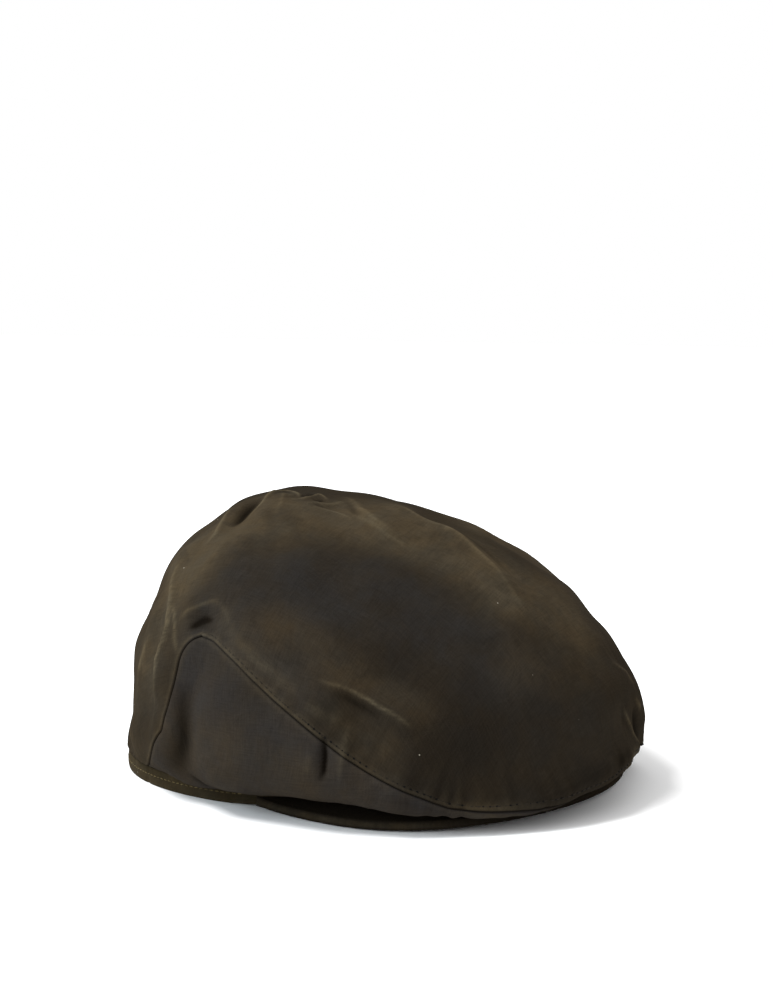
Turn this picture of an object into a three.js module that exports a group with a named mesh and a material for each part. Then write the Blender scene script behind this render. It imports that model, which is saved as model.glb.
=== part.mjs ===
// A waxed cotton flat cap, resting on the back of its hem and the two sides of its peak.
// Millimetres, +Z up. The front of the cap faces -Y, and its left and right are the wearer's:
// the right side is at -X. The origin lies on the surface, under the middle of the outline.
import * as THREE from "three";
import { mergeVertices } from "three/addons/utils/BufferGeometryUtils.js";

// The opening for the head is an ellipse, and the fold is the widest line of the crown.
const HEAD_HALF_WIDTH = 84;
const HEAD_HALF_LENGTH = 96;
const HEAD_CENTRE_Y = 30;
const FOLD_HALF_WIDTH = 118;
const FOLD_REACH_FRONT = 121;
const FOLD_REACH_REAR = 117;
const FOLD_CENTRE_Y = -5;
const CROWN_HEIGHT = 132;
const CROWN_TOP_Y = 51.8;

// The cloth, and the gap that two sewn pieces keep.
const CLOTH = 2;
const GAP = 0.3;

// The folded hem round the opening lies on the surface at the back and rises over the forehead.
const BAND_HEIGHT = 8;
const BAND_THICKNESS = 2.4;
const BAND_PROUD = 0.6;
const BAND_FRONT_LIFT = 12;
const BAND_LIFT_POWER = 1.5;
const HEM_TUCK = 0.6;

// The stiff peak: half an ellipse at the front, and two wings that run back to the temples.
const PEAK_HALF_WIDTH = 96;
const PEAK_WIDEST_Y = -39;
const PEAK_REACH = 75;
const PEAK_TIP_X = 84.6;
const PEAK_TIP_Y = 13;
const PEAK_TIP_BEARING = 80;
const PEAK_THICKNESS = 3.5;
const PEAK_FRONT_LIFT = 3;
const PEAK_ROOT_LIFT = 14;
const PEAK_CAMBER = 1.5;
const PEAK_WING_SHARE = 0.25;

// How finely each piece is divided.
const FRONT_SEAM_STEPS = 27;
const REAR_SEAM_STEPS = 9;
const BACK_STEPS = 12;
const DOME_ROWS = 14;
const BAND_STEPS = 80;
const PEAK_COLUMNS = 36;
const PEAK_ROWS = 5;
const JOIN_WITHIN = 0.001;
const ALL_EDGES = ["low", "high", "start", "end"];

// A bearing is the direction round the cap in degrees: 0 at the front, 90 at the left side,
// -90 at the right and 180 at the back. The rise runs up a section of the crown:
// 0 at the hem, 1 at the fold and 2 at the top.
// Each row is a section. foldHeight is the height of the fold, lip how far the cloth climbs or
// droops as it leaves the hem, and under how far it hangs straight below the fold. shoulder and
// dome are the fullness above the fold and beside the top, as shares of the height and the
// width left there.
const SECTIONS = [
  { bearing: 0, foldHeight: 26, lip: -10.5, under: 9.5, shoulder: 0.46, dome: 0.66 },
  { bearing: 45, foldHeight: 12, lip: -6, under: 8, shoulder: 0.66, dome: 0.39 },
  { bearing: 90, foldHeight: 37, lip: -5, under: 11, shoulder: 0.61, dome: 0.49 },
  { bearing: 135, foldHeight: 34.5, lip: 12, under: 15, shoulder: 0.71, dome: 0.38 },
  { bearing: 180, foldHeight: 61, lip: 24, under: 26, shoulder: 0.53, dome: 0.3 },
];
const LIP_OUT = 0.7;

// The long seam of each side, from the corner behind the ear to the middle of the front.
const FRONT_SEAM = [
  { bearing: 104.5, rise: 1.25 },
  { bearing: 97, rise: 1.222 },
  { bearing: 86, rise: 1.14 },
  { bearing: 73, rise: 1.057 },
  { bearing: 59, rise: 1.019 },
  { bearing: 46, rise: 0.99 },
  { bearing: 34, rise: 0.91 },
  { bearing: 24, rise: 0.84 },
  { bearing: 12, rise: 0.8 },
  { bearing: 0, rise: 0.8 },
];
// The short seam of each side, from the hem at the back up to the same corner.
const REAR_SEAM = [
  { bearing: 125, rise: 0 },
  { bearing: 123.2, rise: 0.45 },
  { bearing: 119.8, rise: 0.93 },
  { bearing: 115.5, rise: 1.055 },
  { bearing: 112, rise: 1.125 },
  { bearing: 109.3, rise: 1.215 },
  { bearing: 104.5, rise: 1.25 },
];

// The main folds and dents. Each runs through three places on the crown, stands height above
// the cloth round it, or sinks below it, and fades over width.
const FOLDS = [
  { name: "rear ridge, top", from: [-116, 1.64], by: [-127, 1.48], to: [-130, 1.4], height: 2.2, width: 7 },
  { name: "rear ridge, foot", from: [-127, 1.39], by: [-120, 1.24], to: [-122, 1.08], height: 2, width: 6 },
  { name: "rear hollow", from: [-133, 1.36], by: [-126, 1.2], to: [-127, 0.98], height: -2, width: 8 },
  { name: "back ridge", from: [-133, 1.3], by: [-132, 1.1], to: [-139, 0.7], height: 1.8, width: 8 },
  { name: "pocket behind the top", from: [-113, 1.62], by: [-110, 1.73], to: [-106, 1.82], height: -3, width: 7 },
  { name: "lip of the pocket", from: [-101, 1.72], by: [-98, 1.81], to: [-100, 1.92], height: 2, width: 7 },
  { name: "ridge along the top", from: [-24, 1.84], by: [-28, 1.76], to: [-26, 1.67], height: 1.6, width: 9 },
  { name: "long crease", from: [-4, 1.8], by: [-9, 1.66], to: [-17, 1.4], height: 1.8, width: 10 },
  { name: "hollow past the crease", from: [6, 1.76], by: [0, 1.6], to: [-6, 1.42], height: -1.8, width: 12 },
  { name: "dimple over the corner", from: [-108, 1.27], by: [-105, 1.295], to: [-101, 1.29], height: -1.4, width: 5 },
  { name: "ridge over the dimple", from: [-112, 1.32], by: [-105, 1.36], to: [-97, 1.34], height: 1.5, width: 7 },
  { name: "crease over the seam", from: [-75, 1.195], by: [-66, 1.195], to: [-56, 1.145], height: 1.8, width: 8 },
  { name: "hollow over the seam", from: [-74, 1.13], by: [-65, 1.1], to: [-55, 1.08], height: -1.4, width: 8 },
  { name: "side hollow", from: [-107, 1.16], by: [-108.5, 1.02], to: [-110, 0.42], height: -2.4, width: 10 },
  { name: "dent under the seam", from: [-72.5, 1.04], by: [-73, 0.98], to: [-73.5, 0.9], height: -1.8, width: 6 },
  { name: "front pucker, high", from: [6, 1.25], by: [14, 1.2], to: [20, 1.15], height: -2, width: 7 },
  { name: "front pucker, low", from: [0, 1.11], by: [3, 1.06], to: [8, 1.01], height: -1.8, width: 6 },
  { name: "front ridge", from: [12, 1.12], by: [16, 1.1], to: [22, 1.06], height: 1.6, width: 7 },
  { name: "front droop", from: [-29, 0.82], by: [-16, 0.8], to: [-4, 0.82], height: 5.5, width: 10 },
  { name: "far front hollow", from: [10, 1.04], by: [20, 0.99], to: [29, 0.98], height: -3.6, width: 10 },
  { name: "far front tuck", from: [9, 0.86], by: [14, 0.88], to: [19, 0.9], height: -1.2, width: 9 },
  { name: "left rear ridge", from: [120, 1.6], by: [127, 1.4], to: [121, 1.1], height: 2, width: 8 },
  { name: "left rear hollow", from: [112, 1.56], by: [117, 1.36], to: [113, 1.18], height: -2, width: 9 },
  { name: "left side hollow", from: [100, 1.1], by: [101, 0.9], to: [102, 0.45], height: -2.2, width: 10 },
  { name: "left crease", from: [78, 1.25], by: [66, 1.23], to: [52, 1.17], height: 1.8, width: 9 },
  { name: "left front hollow", from: [62, 1.12], by: [52, 1.1], to: [40, 1.09], height: -1.6, width: 9 },
  { name: "back hollow", from: [166, 1.34], by: [170, 1.12], to: [168, 0.8], height: -1.8, width: 12 },
];
const FOLD_START_RISE = 0.35;
const HEM_LEVEL_RISE = 0.3;
const BUMPS_PER_WIDTH = 2;

const radians = THREE.MathUtils.degToRad;
const smooth = THREE.MathUtils.smoothstep;
const mix = THREE.MathUtils.lerp;

// The value of one column of SECTIONS at any bearing: the cosine series through its rows,
// which is smooth round the whole cap and the same on both sides.
function around(column, bearing) {
  const last = SECTIONS.length - 1;
  let value = 0;
  for (let wave = 0; wave <= last; wave++) {
    let weight = 0;
    SECTIONS.forEach((row, i) => {
      const share = i === 0 || i === last ? 0.5 : 1;
      weight += share * row[column] * Math.cos((wave * i * Math.PI) / last);
    });
    const share = wave === 0 || wave === last ? 0.5 : 1;
    value += ((share * 2) / last) * weight * Math.cos(wave * radians(bearing));
  }
  return value;
}

// How much a bearing looks forward: 1 at the front, falling to 0 at the sides and behind.
function forward(bearing) {
  return Math.max(0, Math.cos(radians(bearing))) ** BAND_LIFT_POWER;
}

// A point of an ellipse about a middle on the Y axis.
function onEllipse(bearing, halfWidth, halfLength, middle, z) {
  const angle = radians(bearing);
  return new THREE.Vector3(halfWidth * Math.sin(angle), middle - halfLength * Math.cos(angle), z);
}

// The smooth crown before any fold: two cubic arcs, from the hem out to the fold and from
// the fold up to the top.
function crown(bearing, rise) {
  const hemZ = BAND_FRONT_LIFT * forward(bearing) + BAND_HEIGHT + GAP;
  const tuck = HEM_TUCK * forward(bearing);
  const hem = onEllipse(bearing, HEAD_HALF_WIDTH - tuck, HEAD_HALF_LENGTH - tuck, HEAD_CENTRE_Y, hemZ);
  const reach = Math.cos(radians(bearing)) > 0 ? FOLD_REACH_FRONT : FOLD_REACH_REAR;
  const foldZ = around("foldHeight", bearing);
  const fold = onEllipse(bearing, FOLD_HALF_WIDTH, reach, FOLD_CENTRE_Y, foldZ);
  if (rise <= 1) {
    const lip = hem.clone().lerp(fold, LIP_OUT).setZ(hemZ + around("lip", bearing));
    const under = fold.clone().setZ(foldZ - around("under", bearing));
    return new THREE.CubicBezierCurve3(hem, lip, under, fold).getPoint(rise);
  }
  const top = new THREE.Vector3(0, CROWN_TOP_Y, CROWN_HEIGHT);
  const shoulder = fold.clone().setZ(mix(foldZ, CROWN_HEIGHT, around("shoulder", bearing)));
  const dome = top.clone().lerp(fold, around("dome", bearing)).setZ(CROWN_HEIGHT);
  return new THREE.CubicBezierCurve3(fold, shoulder, dome, top).getPoint(rise - 1);
}

// The direction straight out of the smooth crown. The hem is cut level behind and at the sides,
// where it stands on the band, so there the direction is level.
function outward(bearing, rise) {
  const step = 0.01;
  if (rise > 2 - step) return new THREE.Vector3(0, 0, 1);
  const low = Math.max(rise, step);
  const along = crown(bearing + 1, low).sub(crown(bearing - 1, low));
  const up = crown(bearing, low + step).sub(crown(bearing, low - step));
  const out = along.cross(up).normalize();
  const level = (1 - smooth(rise, 0, HEM_LEVEL_RISE)) * (1 - forward(bearing));
  return out.setZ(out.z * (1 - level)).normalize();
}

// Each fold is a row of soft round bumps along its line, so close that they run together.
function bumpsOf(fold) {
  const [a, b, c] = [fold.from, fold.by, fold.to];
  const place = (s) => {
    const first = (1 - s) * (1 - 2 * s);
    const middle = 4 * s * (1 - s);
    const last = s * (2 * s - 1);
    return crown(first * a[0] + middle * b[0] + last * c[0], first * a[1] + middle * b[1] + last * c[1]);
  };
  const length = place(0).distanceTo(place(0.5)) + place(0.5).distanceTo(place(1));
  const count = Math.ceil((BUMPS_PER_WIDTH * length) / fold.width);
  const centres = Array.from({ length: count + 1 }, (_, i) => place(i / count));
  const strength = (fold.height * length) / count / (fold.width * Math.sqrt(Math.PI));
  return { centres, strength, width: fold.width };
}
const BUMPS = FOLDS.map(bumpsOf);

// How far the folds lift the cloth at a point of the smooth crown.
function foldLift(point, rise) {
  let lift = 0;
  for (const { centres, strength, width } of BUMPS)
    for (const centre of centres)
      lift += strength * Math.exp(-point.distanceToSquared(centre) / width ** 2);
  return lift * smooth(rise, 0, FOLD_START_RISE);
}

// A point of the folded cloth, depth below its outer face.
function cloth(bearing, rise, depth) {
  const point = crown(bearing, rise);
  return point.clone().addScaledVector(outward(bearing, rise), foldLift(point, rise) - depth);
}

// The place at share s of a table of bearings and rises: a smooth curve through its rows.
function along(table, s) {
  const spot = Math.min(s, 1) * (table.length - 1);
  const i = Math.min(Math.floor(spot), table.length - 2);
  const row = (k) => table[THREE.MathUtils.clamp(k, 0, table.length - 1)];
  const t = spot - i;
  const blend = (key) => {
    const [p, q, r, z] = [row(i - 1)[key], row(i)[key], row(i + 1)[key], row(i + 2)[key]];
    return q + 0.5 * t * (r - p + t * (2 * p - 5 * q + 4 * r - z + t * (3 * q - p - 3 * r + z)));
  };
  return { bearing: blend("bearing"), rise: blend("rise") };
}

// The triangles of one sheet of cloth between two layers of points. at(i, j, layer) gives a
// point, layer 0 outside. walls names the edges that are closed: low and high end the rows, and
// start and end the columns. A pole draws the last row to a single point. Each four-sided face
// is split along its shorter diagonal, so two pieces that share an edge split it alike.
function sheet(columns, rows, at, walls, pole = false) {
  const corners = [];
  const triangle = (...three) => {
    for (const point of three) corners.push(point.x, point.y, point.z);
  };
  const quad = (a, b, c, d) => {
    if (a.distanceTo(c) <= b.distanceTo(d)) {
      triangle(a, b, c);
      triangle(a, c, d);
    } else {
      triangle(b, c, d);
      triangle(b, d, a);
    }
  };
  const points = [0, 1].map((layer) =>
    Array.from({ length: columns + 1 }, (_, i) =>
      Array.from({ length: rows + 1 }, (_, j) => at(i, j, layer)),
    ),
  );
  const [outer, inner] = points;
  const top = pole ? rows - 1 : rows;
  for (let i = 0; i < columns; i++) {
    for (let j = 0; j < top; j++) {
      quad(outer[i][j], outer[i + 1][j], outer[i + 1][j + 1], outer[i][j + 1]);
      quad(inner[i][j], inner[i][j + 1], inner[i + 1][j + 1], inner[i + 1][j]);
    }
    if (pole) {
      triangle(outer[i][top], outer[i + 1][top], outer[i][rows]);
      triangle(inner[i][top], inner[i][rows], inner[i + 1][top]);
    }
    if (walls.includes("low")) quad(inner[i][0], inner[i + 1][0], outer[i + 1][0], outer[i][0]);
    if (walls.includes("high"))
      quad(outer[i][rows], outer[i + 1][rows], inner[i + 1][rows], inner[i][rows]);
  }
  for (let j = 0; j < rows; j++) {
    const [o, n] = [outer, inner];
    if (walls.includes("start")) quad(o[0][j], o[0][j + 1], n[0][j + 1], n[0][j]);
    if (walls.includes("end"))
      quad(o[columns][j], n[columns][j], n[columns][j + 1], o[columns][j + 1]);
  }
  return corners;
}

// One named piece from its sheets, whose shared points are joined.
function piece(name, material, ...sheets) {
  const loose = new THREE.BufferGeometry();
  loose.setAttribute("position", new THREE.Float32BufferAttribute(sheets.flat(), 3));
  const geometry = mergeVertices(loose, JOIN_WITHIN);
  geometry.computeVertexNormals();
  const mesh = new THREE.Mesh(geometry, material);
  mesh.name = name;
  return mesh;
}

// The whole seam of one side, from the middle of the front past the corner to the hem behind.
const SEAM = [];
for (let i = FRONT_SEAM_STEPS; i > 0; i--) SEAM.push(along(FRONT_SEAM, i / FRONT_SEAM_STEPS));
for (let i = REAR_SEAM_STEPS; i >= 0; i--) SEAM.push(along(REAR_SEAM, i / REAR_SEAM_STEPS));

// A point of that seam, moved half a gap across the cloth: up with lean 1, down with -1.
// side is 1 on the wearer's left and -1 on the right.
function seamPoint(k, side, lean, depth) {
  const spot = (n) => {
    const { bearing, rise } = SEAM[THREE.MathUtils.clamp(n, 0, SEAM.length - 1)];
    return cloth(side * bearing, rise, depth);
  };
  const run = spot(k + 1).sub(spot(k - 1));
  const across = outward(side * SEAM[k].bearing, SEAM[k].rise).cross(run).normalize();
  return spot(k).addScaledVector(across, (side * lean * GAP) / 2);
}

// The top panel runs from the front seams over the crown and down the back to the hem. A line
// round the back, level with the corners, divides it: a dome in two halves, and a skirt below.
function topPanel(material) {
  const corner = SEAM[FRONT_SEAM_STEPS];
  const front = (i, j, layer) => {
    const side = Math.sign(i - FRONT_SEAM_STEPS);
    const k = Math.abs(i - FRONT_SEAM_STEPS);
    if (j === 0) return seamPoint(k, side || 1, 1, layer * CLOTH);
    return cloth(side * SEAM[k].bearing, mix(SEAM[k].rise, 2, j / DOME_ROWS), layer * CLOTH);
  };
  // The share u of the way from a corner to the middle of the back, and the side it is on.
  const behind = (i) => [1 - Math.abs(1 - i / BACK_STEPS), i <= BACK_STEPS ? 1 : -1];
  const back = (i, j, layer) => {
    const [u, side] = behind(i);
    if (j === 0 && u === 0) return seamPoint(FRONT_SEAM_STEPS, side, 1, layer * CLOTH);
    const rise = mix(corner.rise, 2, j / DOME_ROWS);
    return cloth(side * mix(corner.bearing, 180, u), rise, layer * CLOTH);
  };
  const skirt = (i, j, layer) => {
    const [u, side] = behind(i);
    const k = SEAM.length - 1 - j;
    if (u === 0) return seamPoint(k, side, 1, layer * CLOTH);
    const rise = mix(SEAM[k].rise, (corner.rise * j) / REAR_SEAM_STEPS, u);
    return cloth(side * mix(SEAM[k].bearing, 180, u), rise, layer * CLOTH);
  };
  return piece(
    "top_panel",
    material,
    sheet(2 * FRONT_SEAM_STEPS, DOME_ROWS, front, ["low"], true),
    sheet(2 * BACK_STEPS, DOME_ROWS, back, [], true),
    sheet(2 * BACK_STEPS, REAR_SEAM_STEPS, skirt, ["low", "start", "end"]),
  );
}

// A side panel fills the space between its two seams, the hem and the middle of the front.
function sidePanel(name, material, side) {
  const [columns, rows] = [FRONT_SEAM_STEPS, REAR_SEAM_STEPS];
  const corner = FRONT_SEAM[0];
  const inside = (u, v, depth) => {
    const [upper, rear] = [along(FRONT_SEAM, u), along(REAR_SEAM, v)];
    const blend = (key) => v * upper[key] + (1 - u) * (rear[key] - v * corner[key]);
    return cloth(side * blend("bearing"), blend("rise"), depth);
  };
  const at = (i, j, layer) => {
    const depth = layer * CLOTH;
    let point = inside(i / columns, j / rows, depth);
    if (j === rows) point = seamPoint(columns - i, side, -1, depth);
    else if (i === 0) point = seamPoint(columns + rows - j, side, -1, depth);
    if (i === columns) point.setX((side * GAP) / 2);
    return point;
  };
  const order = side > 0 ? (i, j, layer) => at(columns - i, j, layer) : at;
  return piece(name, material, sheet(columns, rows, order, ALL_EDGES));
}

// The folded hem: a band of even height whose foot is flat at the back and sides.
function hemBand(material) {
  const at = (i, j, layer) => {
    const bearing = (360 * i) / BAND_STEPS;
    const outset = BAND_PROUD - layer * BAND_THICKNESS;
    const z = BAND_FRONT_LIFT * forward(bearing) + j * BAND_HEIGHT;
    return onEllipse(bearing, HEAD_HALF_WIDTH + outset, HEAD_HALF_LENGTH + outset, HEAD_CENTRE_Y, z);
  };
  return piece("hem_band", material, sheet(BAND_STEPS, 1, at, ["low", "high"]));
}

// The outer edge of the peak's underside. u runs from -1 at the right tip to 1 at the left.
function peakEdge(u) {
  const [share, side] = [Math.abs(u), Math.sign(u)];
  const bend = 1 - PEAK_WING_SHARE;
  if (share <= bend) {
    const point = onEllipse((90 * share) / bend, PEAK_HALF_WIDTH, PEAK_REACH, PEAK_WIDEST_Y, 0);
    const lift = PEAK_FRONT_LIFT * Math.cos(radians((90 * share) / bend)) ** 2;
    return point.set(side * point.x, point.y, lift);
  }
  const back = (share - bend) / PEAK_WING_SHARE;
  const x = mix(PEAK_HALF_WIDTH, PEAK_TIP_X, back ** 2);
  return new THREE.Vector3(side * x, mix(PEAK_WIDEST_Y, PEAK_TIP_Y, back), 0);
}

// The peak spans from the outside of the band to its edge, a little arched on the way.
function peak(material) {
  const outset = BAND_PROUD + GAP;
  const at = (i, j, layer) => {
    const u = (2 * i) / PEAK_COLUMNS - 1;
    const v = j / PEAK_ROWS;
    const bearing = PEAK_TIP_BEARING * u;
    const rootZ = PEAK_ROOT_LIFT * forward(bearing);
    const [width, length] = [HEAD_HALF_WIDTH + outset, HEAD_HALF_LENGTH + outset];
    const root = onEllipse(bearing, width, length, HEAD_CENTRE_Y, rootZ);
    const point = root.lerp(peakEdge(u), v);
    const camber = 4 * PEAK_CAMBER * v * (1 - v) * forward(bearing);
    return point.setZ(point.z + camber + layer * PEAK_THICKNESS);
  };
  return piece("peak", material, sheet(PEAK_COLUMNS, PEAK_ROWS, at, ALL_EDGES));
}

function waxed(colour, roughness) {
  return new THREE.MeshStandardMaterial({ color: colour, roughness, metalness: 0 });
}

const waxedTop = waxed(0x37322a, 0.62);
const waxedSide = waxed(0x322e28, 0.64);
const cap = new THREE.Group();
cap.add(topPanel(waxedTop));
cap.add(sidePanel("side_panel_left", waxedSide, 1));
cap.add(sidePanel("side_panel_right", waxedSide, -1));
cap.add(hemBand(waxed(0x3a3427, 0.66)));
cap.add(peak(waxed(0x302b24, 0.6)));

export default cap;
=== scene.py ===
# %% [markdown]
# # A waxed cotton flat cap
# The cap is sewn from three pieces of waxed cloth: one large top panel and two pointed side
# panels. A narrow folded hem runs round the head opening, and a short stiff peak sits under the
# front. The measured model gives each piece its place and its size. This lesson gives it cloth:
# soft creases, puckered seams, rows of stitches and a waxed finish.
# The first cell loads the measured model and has a helper that reads a part's outer box.

import bmesh
import bpy
import numpy as np
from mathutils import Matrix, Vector


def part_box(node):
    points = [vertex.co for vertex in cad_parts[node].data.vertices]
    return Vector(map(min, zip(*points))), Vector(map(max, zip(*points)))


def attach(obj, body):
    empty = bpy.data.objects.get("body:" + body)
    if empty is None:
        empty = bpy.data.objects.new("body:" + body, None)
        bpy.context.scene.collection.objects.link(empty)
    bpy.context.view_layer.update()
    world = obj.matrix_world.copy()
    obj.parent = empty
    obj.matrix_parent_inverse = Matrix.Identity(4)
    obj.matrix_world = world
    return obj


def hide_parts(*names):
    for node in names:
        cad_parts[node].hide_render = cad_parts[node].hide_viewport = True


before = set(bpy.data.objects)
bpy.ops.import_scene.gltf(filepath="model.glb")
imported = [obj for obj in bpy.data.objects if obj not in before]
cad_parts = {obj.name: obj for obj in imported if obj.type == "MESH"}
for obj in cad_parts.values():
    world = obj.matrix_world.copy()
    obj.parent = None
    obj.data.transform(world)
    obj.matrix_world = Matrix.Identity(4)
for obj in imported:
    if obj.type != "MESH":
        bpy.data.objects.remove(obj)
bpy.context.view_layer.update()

MM = 0.001
print("nodes:", sorted(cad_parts))

# %% [markdown]
# ## The camera
# The cap is seen from its front right, a little from above, as it lies on a table. A long lens
# keeps its outline calm, so the camera stands almost a metre away. Its place is worked out from
# a bearing, a distance and a height round one point under the crown, because those are the
# numbers that a photographer would note down.

# %% Place the camera
CAMERA_BEARING = -59.0
CAMERA_DISTANCE = 0.985
CAMERA_HEIGHT = 0.230
POINT_UNDER_CROWN_Y = 0.016
LOOK_DOWN = 5.93
LOOK_ASIDE = 1.02
LENS = 76.25
NEAREST = 0.05


def linked(name, data):
    """A new object made from its data and put into the scene."""
    made = bpy.data.objects.new(name, data)
    bpy.context.scene.collection.objects.link(made)
    return made


lens = bpy.data.cameras.new("camera")
lens.lens = LENS
lens.clip_start = NEAREST
camera = linked("camera", lens)
turn = np.radians(CAMERA_BEARING)
camera.location = (
    CAMERA_DISTANCE * np.sin(turn),
    POINT_UNDER_CROWN_Y - CAMERA_DISTANCE * np.cos(turn),
    CAMERA_HEIGHT,
)
camera.rotation_euler = (np.radians(90 - LOOK_DOWN), 0, np.radians(CAMERA_BEARING - LOOK_ASIDE))
bpy.context.scene.camera = camera
print("camera at", [round(c, 3) for c in camera.location])

# %% [markdown]
# ## The sizes of the cap
# Sizes are in millimetres, as a cap maker would note them, and each mesh is turned into metres
# when it is made. The head opening is an ellipse, and the hem band of the measured model gives
# its width and length. A place on the crown has two numbers. Its bearing is the direction in
# degrees: 0 at the front, 90 at the left side and 180 at the back. Its rise is how far up it
# lies: 0 at the hem, 1 at the widest line, which is the fold, and 2 at the top.
# The table gives five bearings, and for each one the height of the fold, how far the handles of
# the lower curve stand over the hem and under the fold, and the shares that place those of the
# upper curve.

# %% Sizes and sections
band_low, band_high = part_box("hem_band")
BAND_PROUD = 0.6
BAND_THICKNESS = 2.4
BAND_HEIGHT = 8.0
BAND_FRONT_LIFT = 12.0
HEAD_HALF_WIDTH = band_high.x / MM - BAND_PROUD
HEAD_HALF_LENGTH = (band_high.y - band_low.y) / 2 / MM - BAND_PROUD
HEAD_CENTRE_Y = (band_high.y + band_low.y) / 2 / MM
FOLD_HALF_WIDTH = 118.0
FOLD_REACH_FRONT = 121.0
FOLD_REACH_REAR = 117.0
FOLD_CENTRE_Y = -5.0
CROWN_HEIGHT = 132.0
CROWN_TOP_Y = 51.8
CLOTH = 1.6
GAP = 0.3
HEM_TUCK = 0.6
LIP_OUT = 0.7

SECTIONS = {
    "bearing": (0, 45, 90, 135, 180),
    "fold_height": (26, 12, 37, 34.5, 61),
    "lip": (-10.5, -6, -5, 12, 24),
    "under": (9.5, 8, 11, 15, 26),
    "shoulder": (0.46, 0.66, 0.61, 0.71, 0.53),
    "dome": (0.66, 0.39, 0.49, 0.38, 0.30),
}
print("head opening %.0f by %.0f mm" % (2 * HEAD_HALF_WIDTH, 2 * HEAD_HALF_LENGTH))

# %% [markdown]
# ## The smooth crown
# A full cap is a soft shell that swells out over the head opening. Each section of it is two
# curves: one from the hem out to the fold, and one from the fold up to the top. Cubic curves
# suit this, because their two middle handles say directly how full the cloth is. The values
# between the five measured bearings come from a cosine series, which is smooth all the way
# round and the same on both sides. Every function takes whole arrays of bearings and rises, so
# a surface of many thousand points is worked out at once.

# %% Curves of the crown
AHEAD_POWER = 1.5


def around(column, bearing):
    """A column of SECTIONS at any bearing: the sum of cosines of 0 to 4 waves round half the
    cap that passes through the five rows."""
    values = np.array(SECTIONS[column], float)
    waves = np.arange(len(values))
    last = len(values) - 1
    share = np.where((waves == 0) | (waves == last), 0.5, 1.0)
    cosines = np.cos(np.outer(waves, waves) * np.pi / last)
    weights = share * (2 / last) * (cosines @ (share * values))
    return np.cos(np.multiply.outer(np.radians(bearing), waves)) @ weights


def forward(bearing):
    """How much a bearing looks ahead: a power of its cosine, and 0 behind the temples."""
    return np.maximum(0, np.cos(np.radians(bearing))) ** AHEAD_POWER


def on_ellipse(bearing, half_width, half_length, middle, z):
    """A point of a level ellipse: half_width times the sine to the left, and half_length times
    the cosine ahead of the middle."""
    angle = np.radians(bearing)
    x = half_width * np.sin(angle)
    y = middle - half_length * np.cos(angle)
    return np.stack(np.broadcast_arrays(x, y, z), -1)


def by_opening(bearing, outset, z):
    """A point beside the head opening: on its ellipse, made larger all round by outset."""
    half_width, half_length = HEAD_HALF_WIDTH + outset, HEAD_HALF_LENGTH + outset
    return on_ellipse(bearing, half_width, half_length, HEAD_CENTRE_Y, z)


def cubic(a, b, c, d, t):
    """A cubic curve from a to d with the handles b and c, at share t."""
    t = t[..., None]
    return (1 - t) ** 3 * a + 3 * (1 - t) ** 2 * t * b + 3 * (1 - t) * t**2 * c + t**3 * d


def crown(bearing, rise):
    """The smooth crown: a cubic curve from the hem to the fold, and one from there to the top."""
    bearing, rise = np.broadcast_arrays(np.asarray(bearing, float), np.asarray(rise, float))
    hem_z = BAND_FRONT_LIFT * forward(bearing) + BAND_HEIGHT + GAP
    hem = by_opening(bearing, -HEM_TUCK * forward(bearing), hem_z)
    reach = np.where(np.cos(np.radians(bearing)) > 0, FOLD_REACH_FRONT, FOLD_REACH_REAR)
    fold_z = around("fold_height", bearing)
    fold = on_ellipse(bearing, FOLD_HALF_WIDTH, reach, FOLD_CENTRE_Y, fold_z)
    lip = hem + LIP_OUT * (fold - hem)
    lip[..., 2] = hem_z + around("lip", bearing)
    under = fold.copy()
    under[..., 2] -= around("under", bearing)
    top = np.array([0, CROWN_TOP_Y, CROWN_HEIGHT])
    shoulder = fold.copy()
    shoulder[..., 2] += around("shoulder", bearing) * (CROWN_HEIGHT - fold_z)
    dome = top + around("dome", bearing)[..., None] * (fold - top)
    dome[..., 2] = CROWN_HEIGHT
    low = cubic(hem, lip, under, fold, np.clip(rise, 0, 1))
    high = cubic(fold, shoulder, dome, top, np.clip(rise - 1, 0, 1))
    return np.where((rise <= 1)[..., None], low, high)


print("top of the crown:", crown(0.0, 2.0).round(1))

# %% Straight out of the crown
HEM_LEVEL_RISE = 0.3
STEP = 0.01
TINY = 1e-12


def smooth(x, low, high):
    """A soft step from 0 at low to 1 at high: three times the square less twice the cube."""
    t = np.clip((x - low) / (high - low), 0, 1)
    return t * t * (3 - 2 * t)


def norm(vectors):
    """The length of each vector: the root of the sum of its squares."""
    return np.linalg.norm(vectors, axis=-1)


def unit(vectors):
    """Vectors of length 1: each is divided by its own length."""
    return vectors / np.maximum(norm(vectors), TINY)[..., None]


def outward(bearing, rise):
    """The direction straight out of the crown: across both the line round it and the line up
    it. Near the hem it is turned level, and at the very top it points up."""
    low = np.clip(rise, STEP, 2 - STEP)
    along = crown(bearing + 1, low) - crown(bearing - 1, low)
    up = crown(bearing, low + STEP) - crown(bearing, low - STEP)
    out = unit(np.cross(along, up))
    level = (1 - smooth(rise, 0, HEM_LEVEL_RISE)) * (1 - forward(bearing))
    out[..., 2] *= 1 - level
    at_top = (rise > 2 - STEP)[..., None]
    return unit(np.where(at_top, np.array([0.0, 0.0, 1.0]), out))


print("out at the left side:", outward(np.array([90.0]), np.array([1.0])).round(2))
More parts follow.
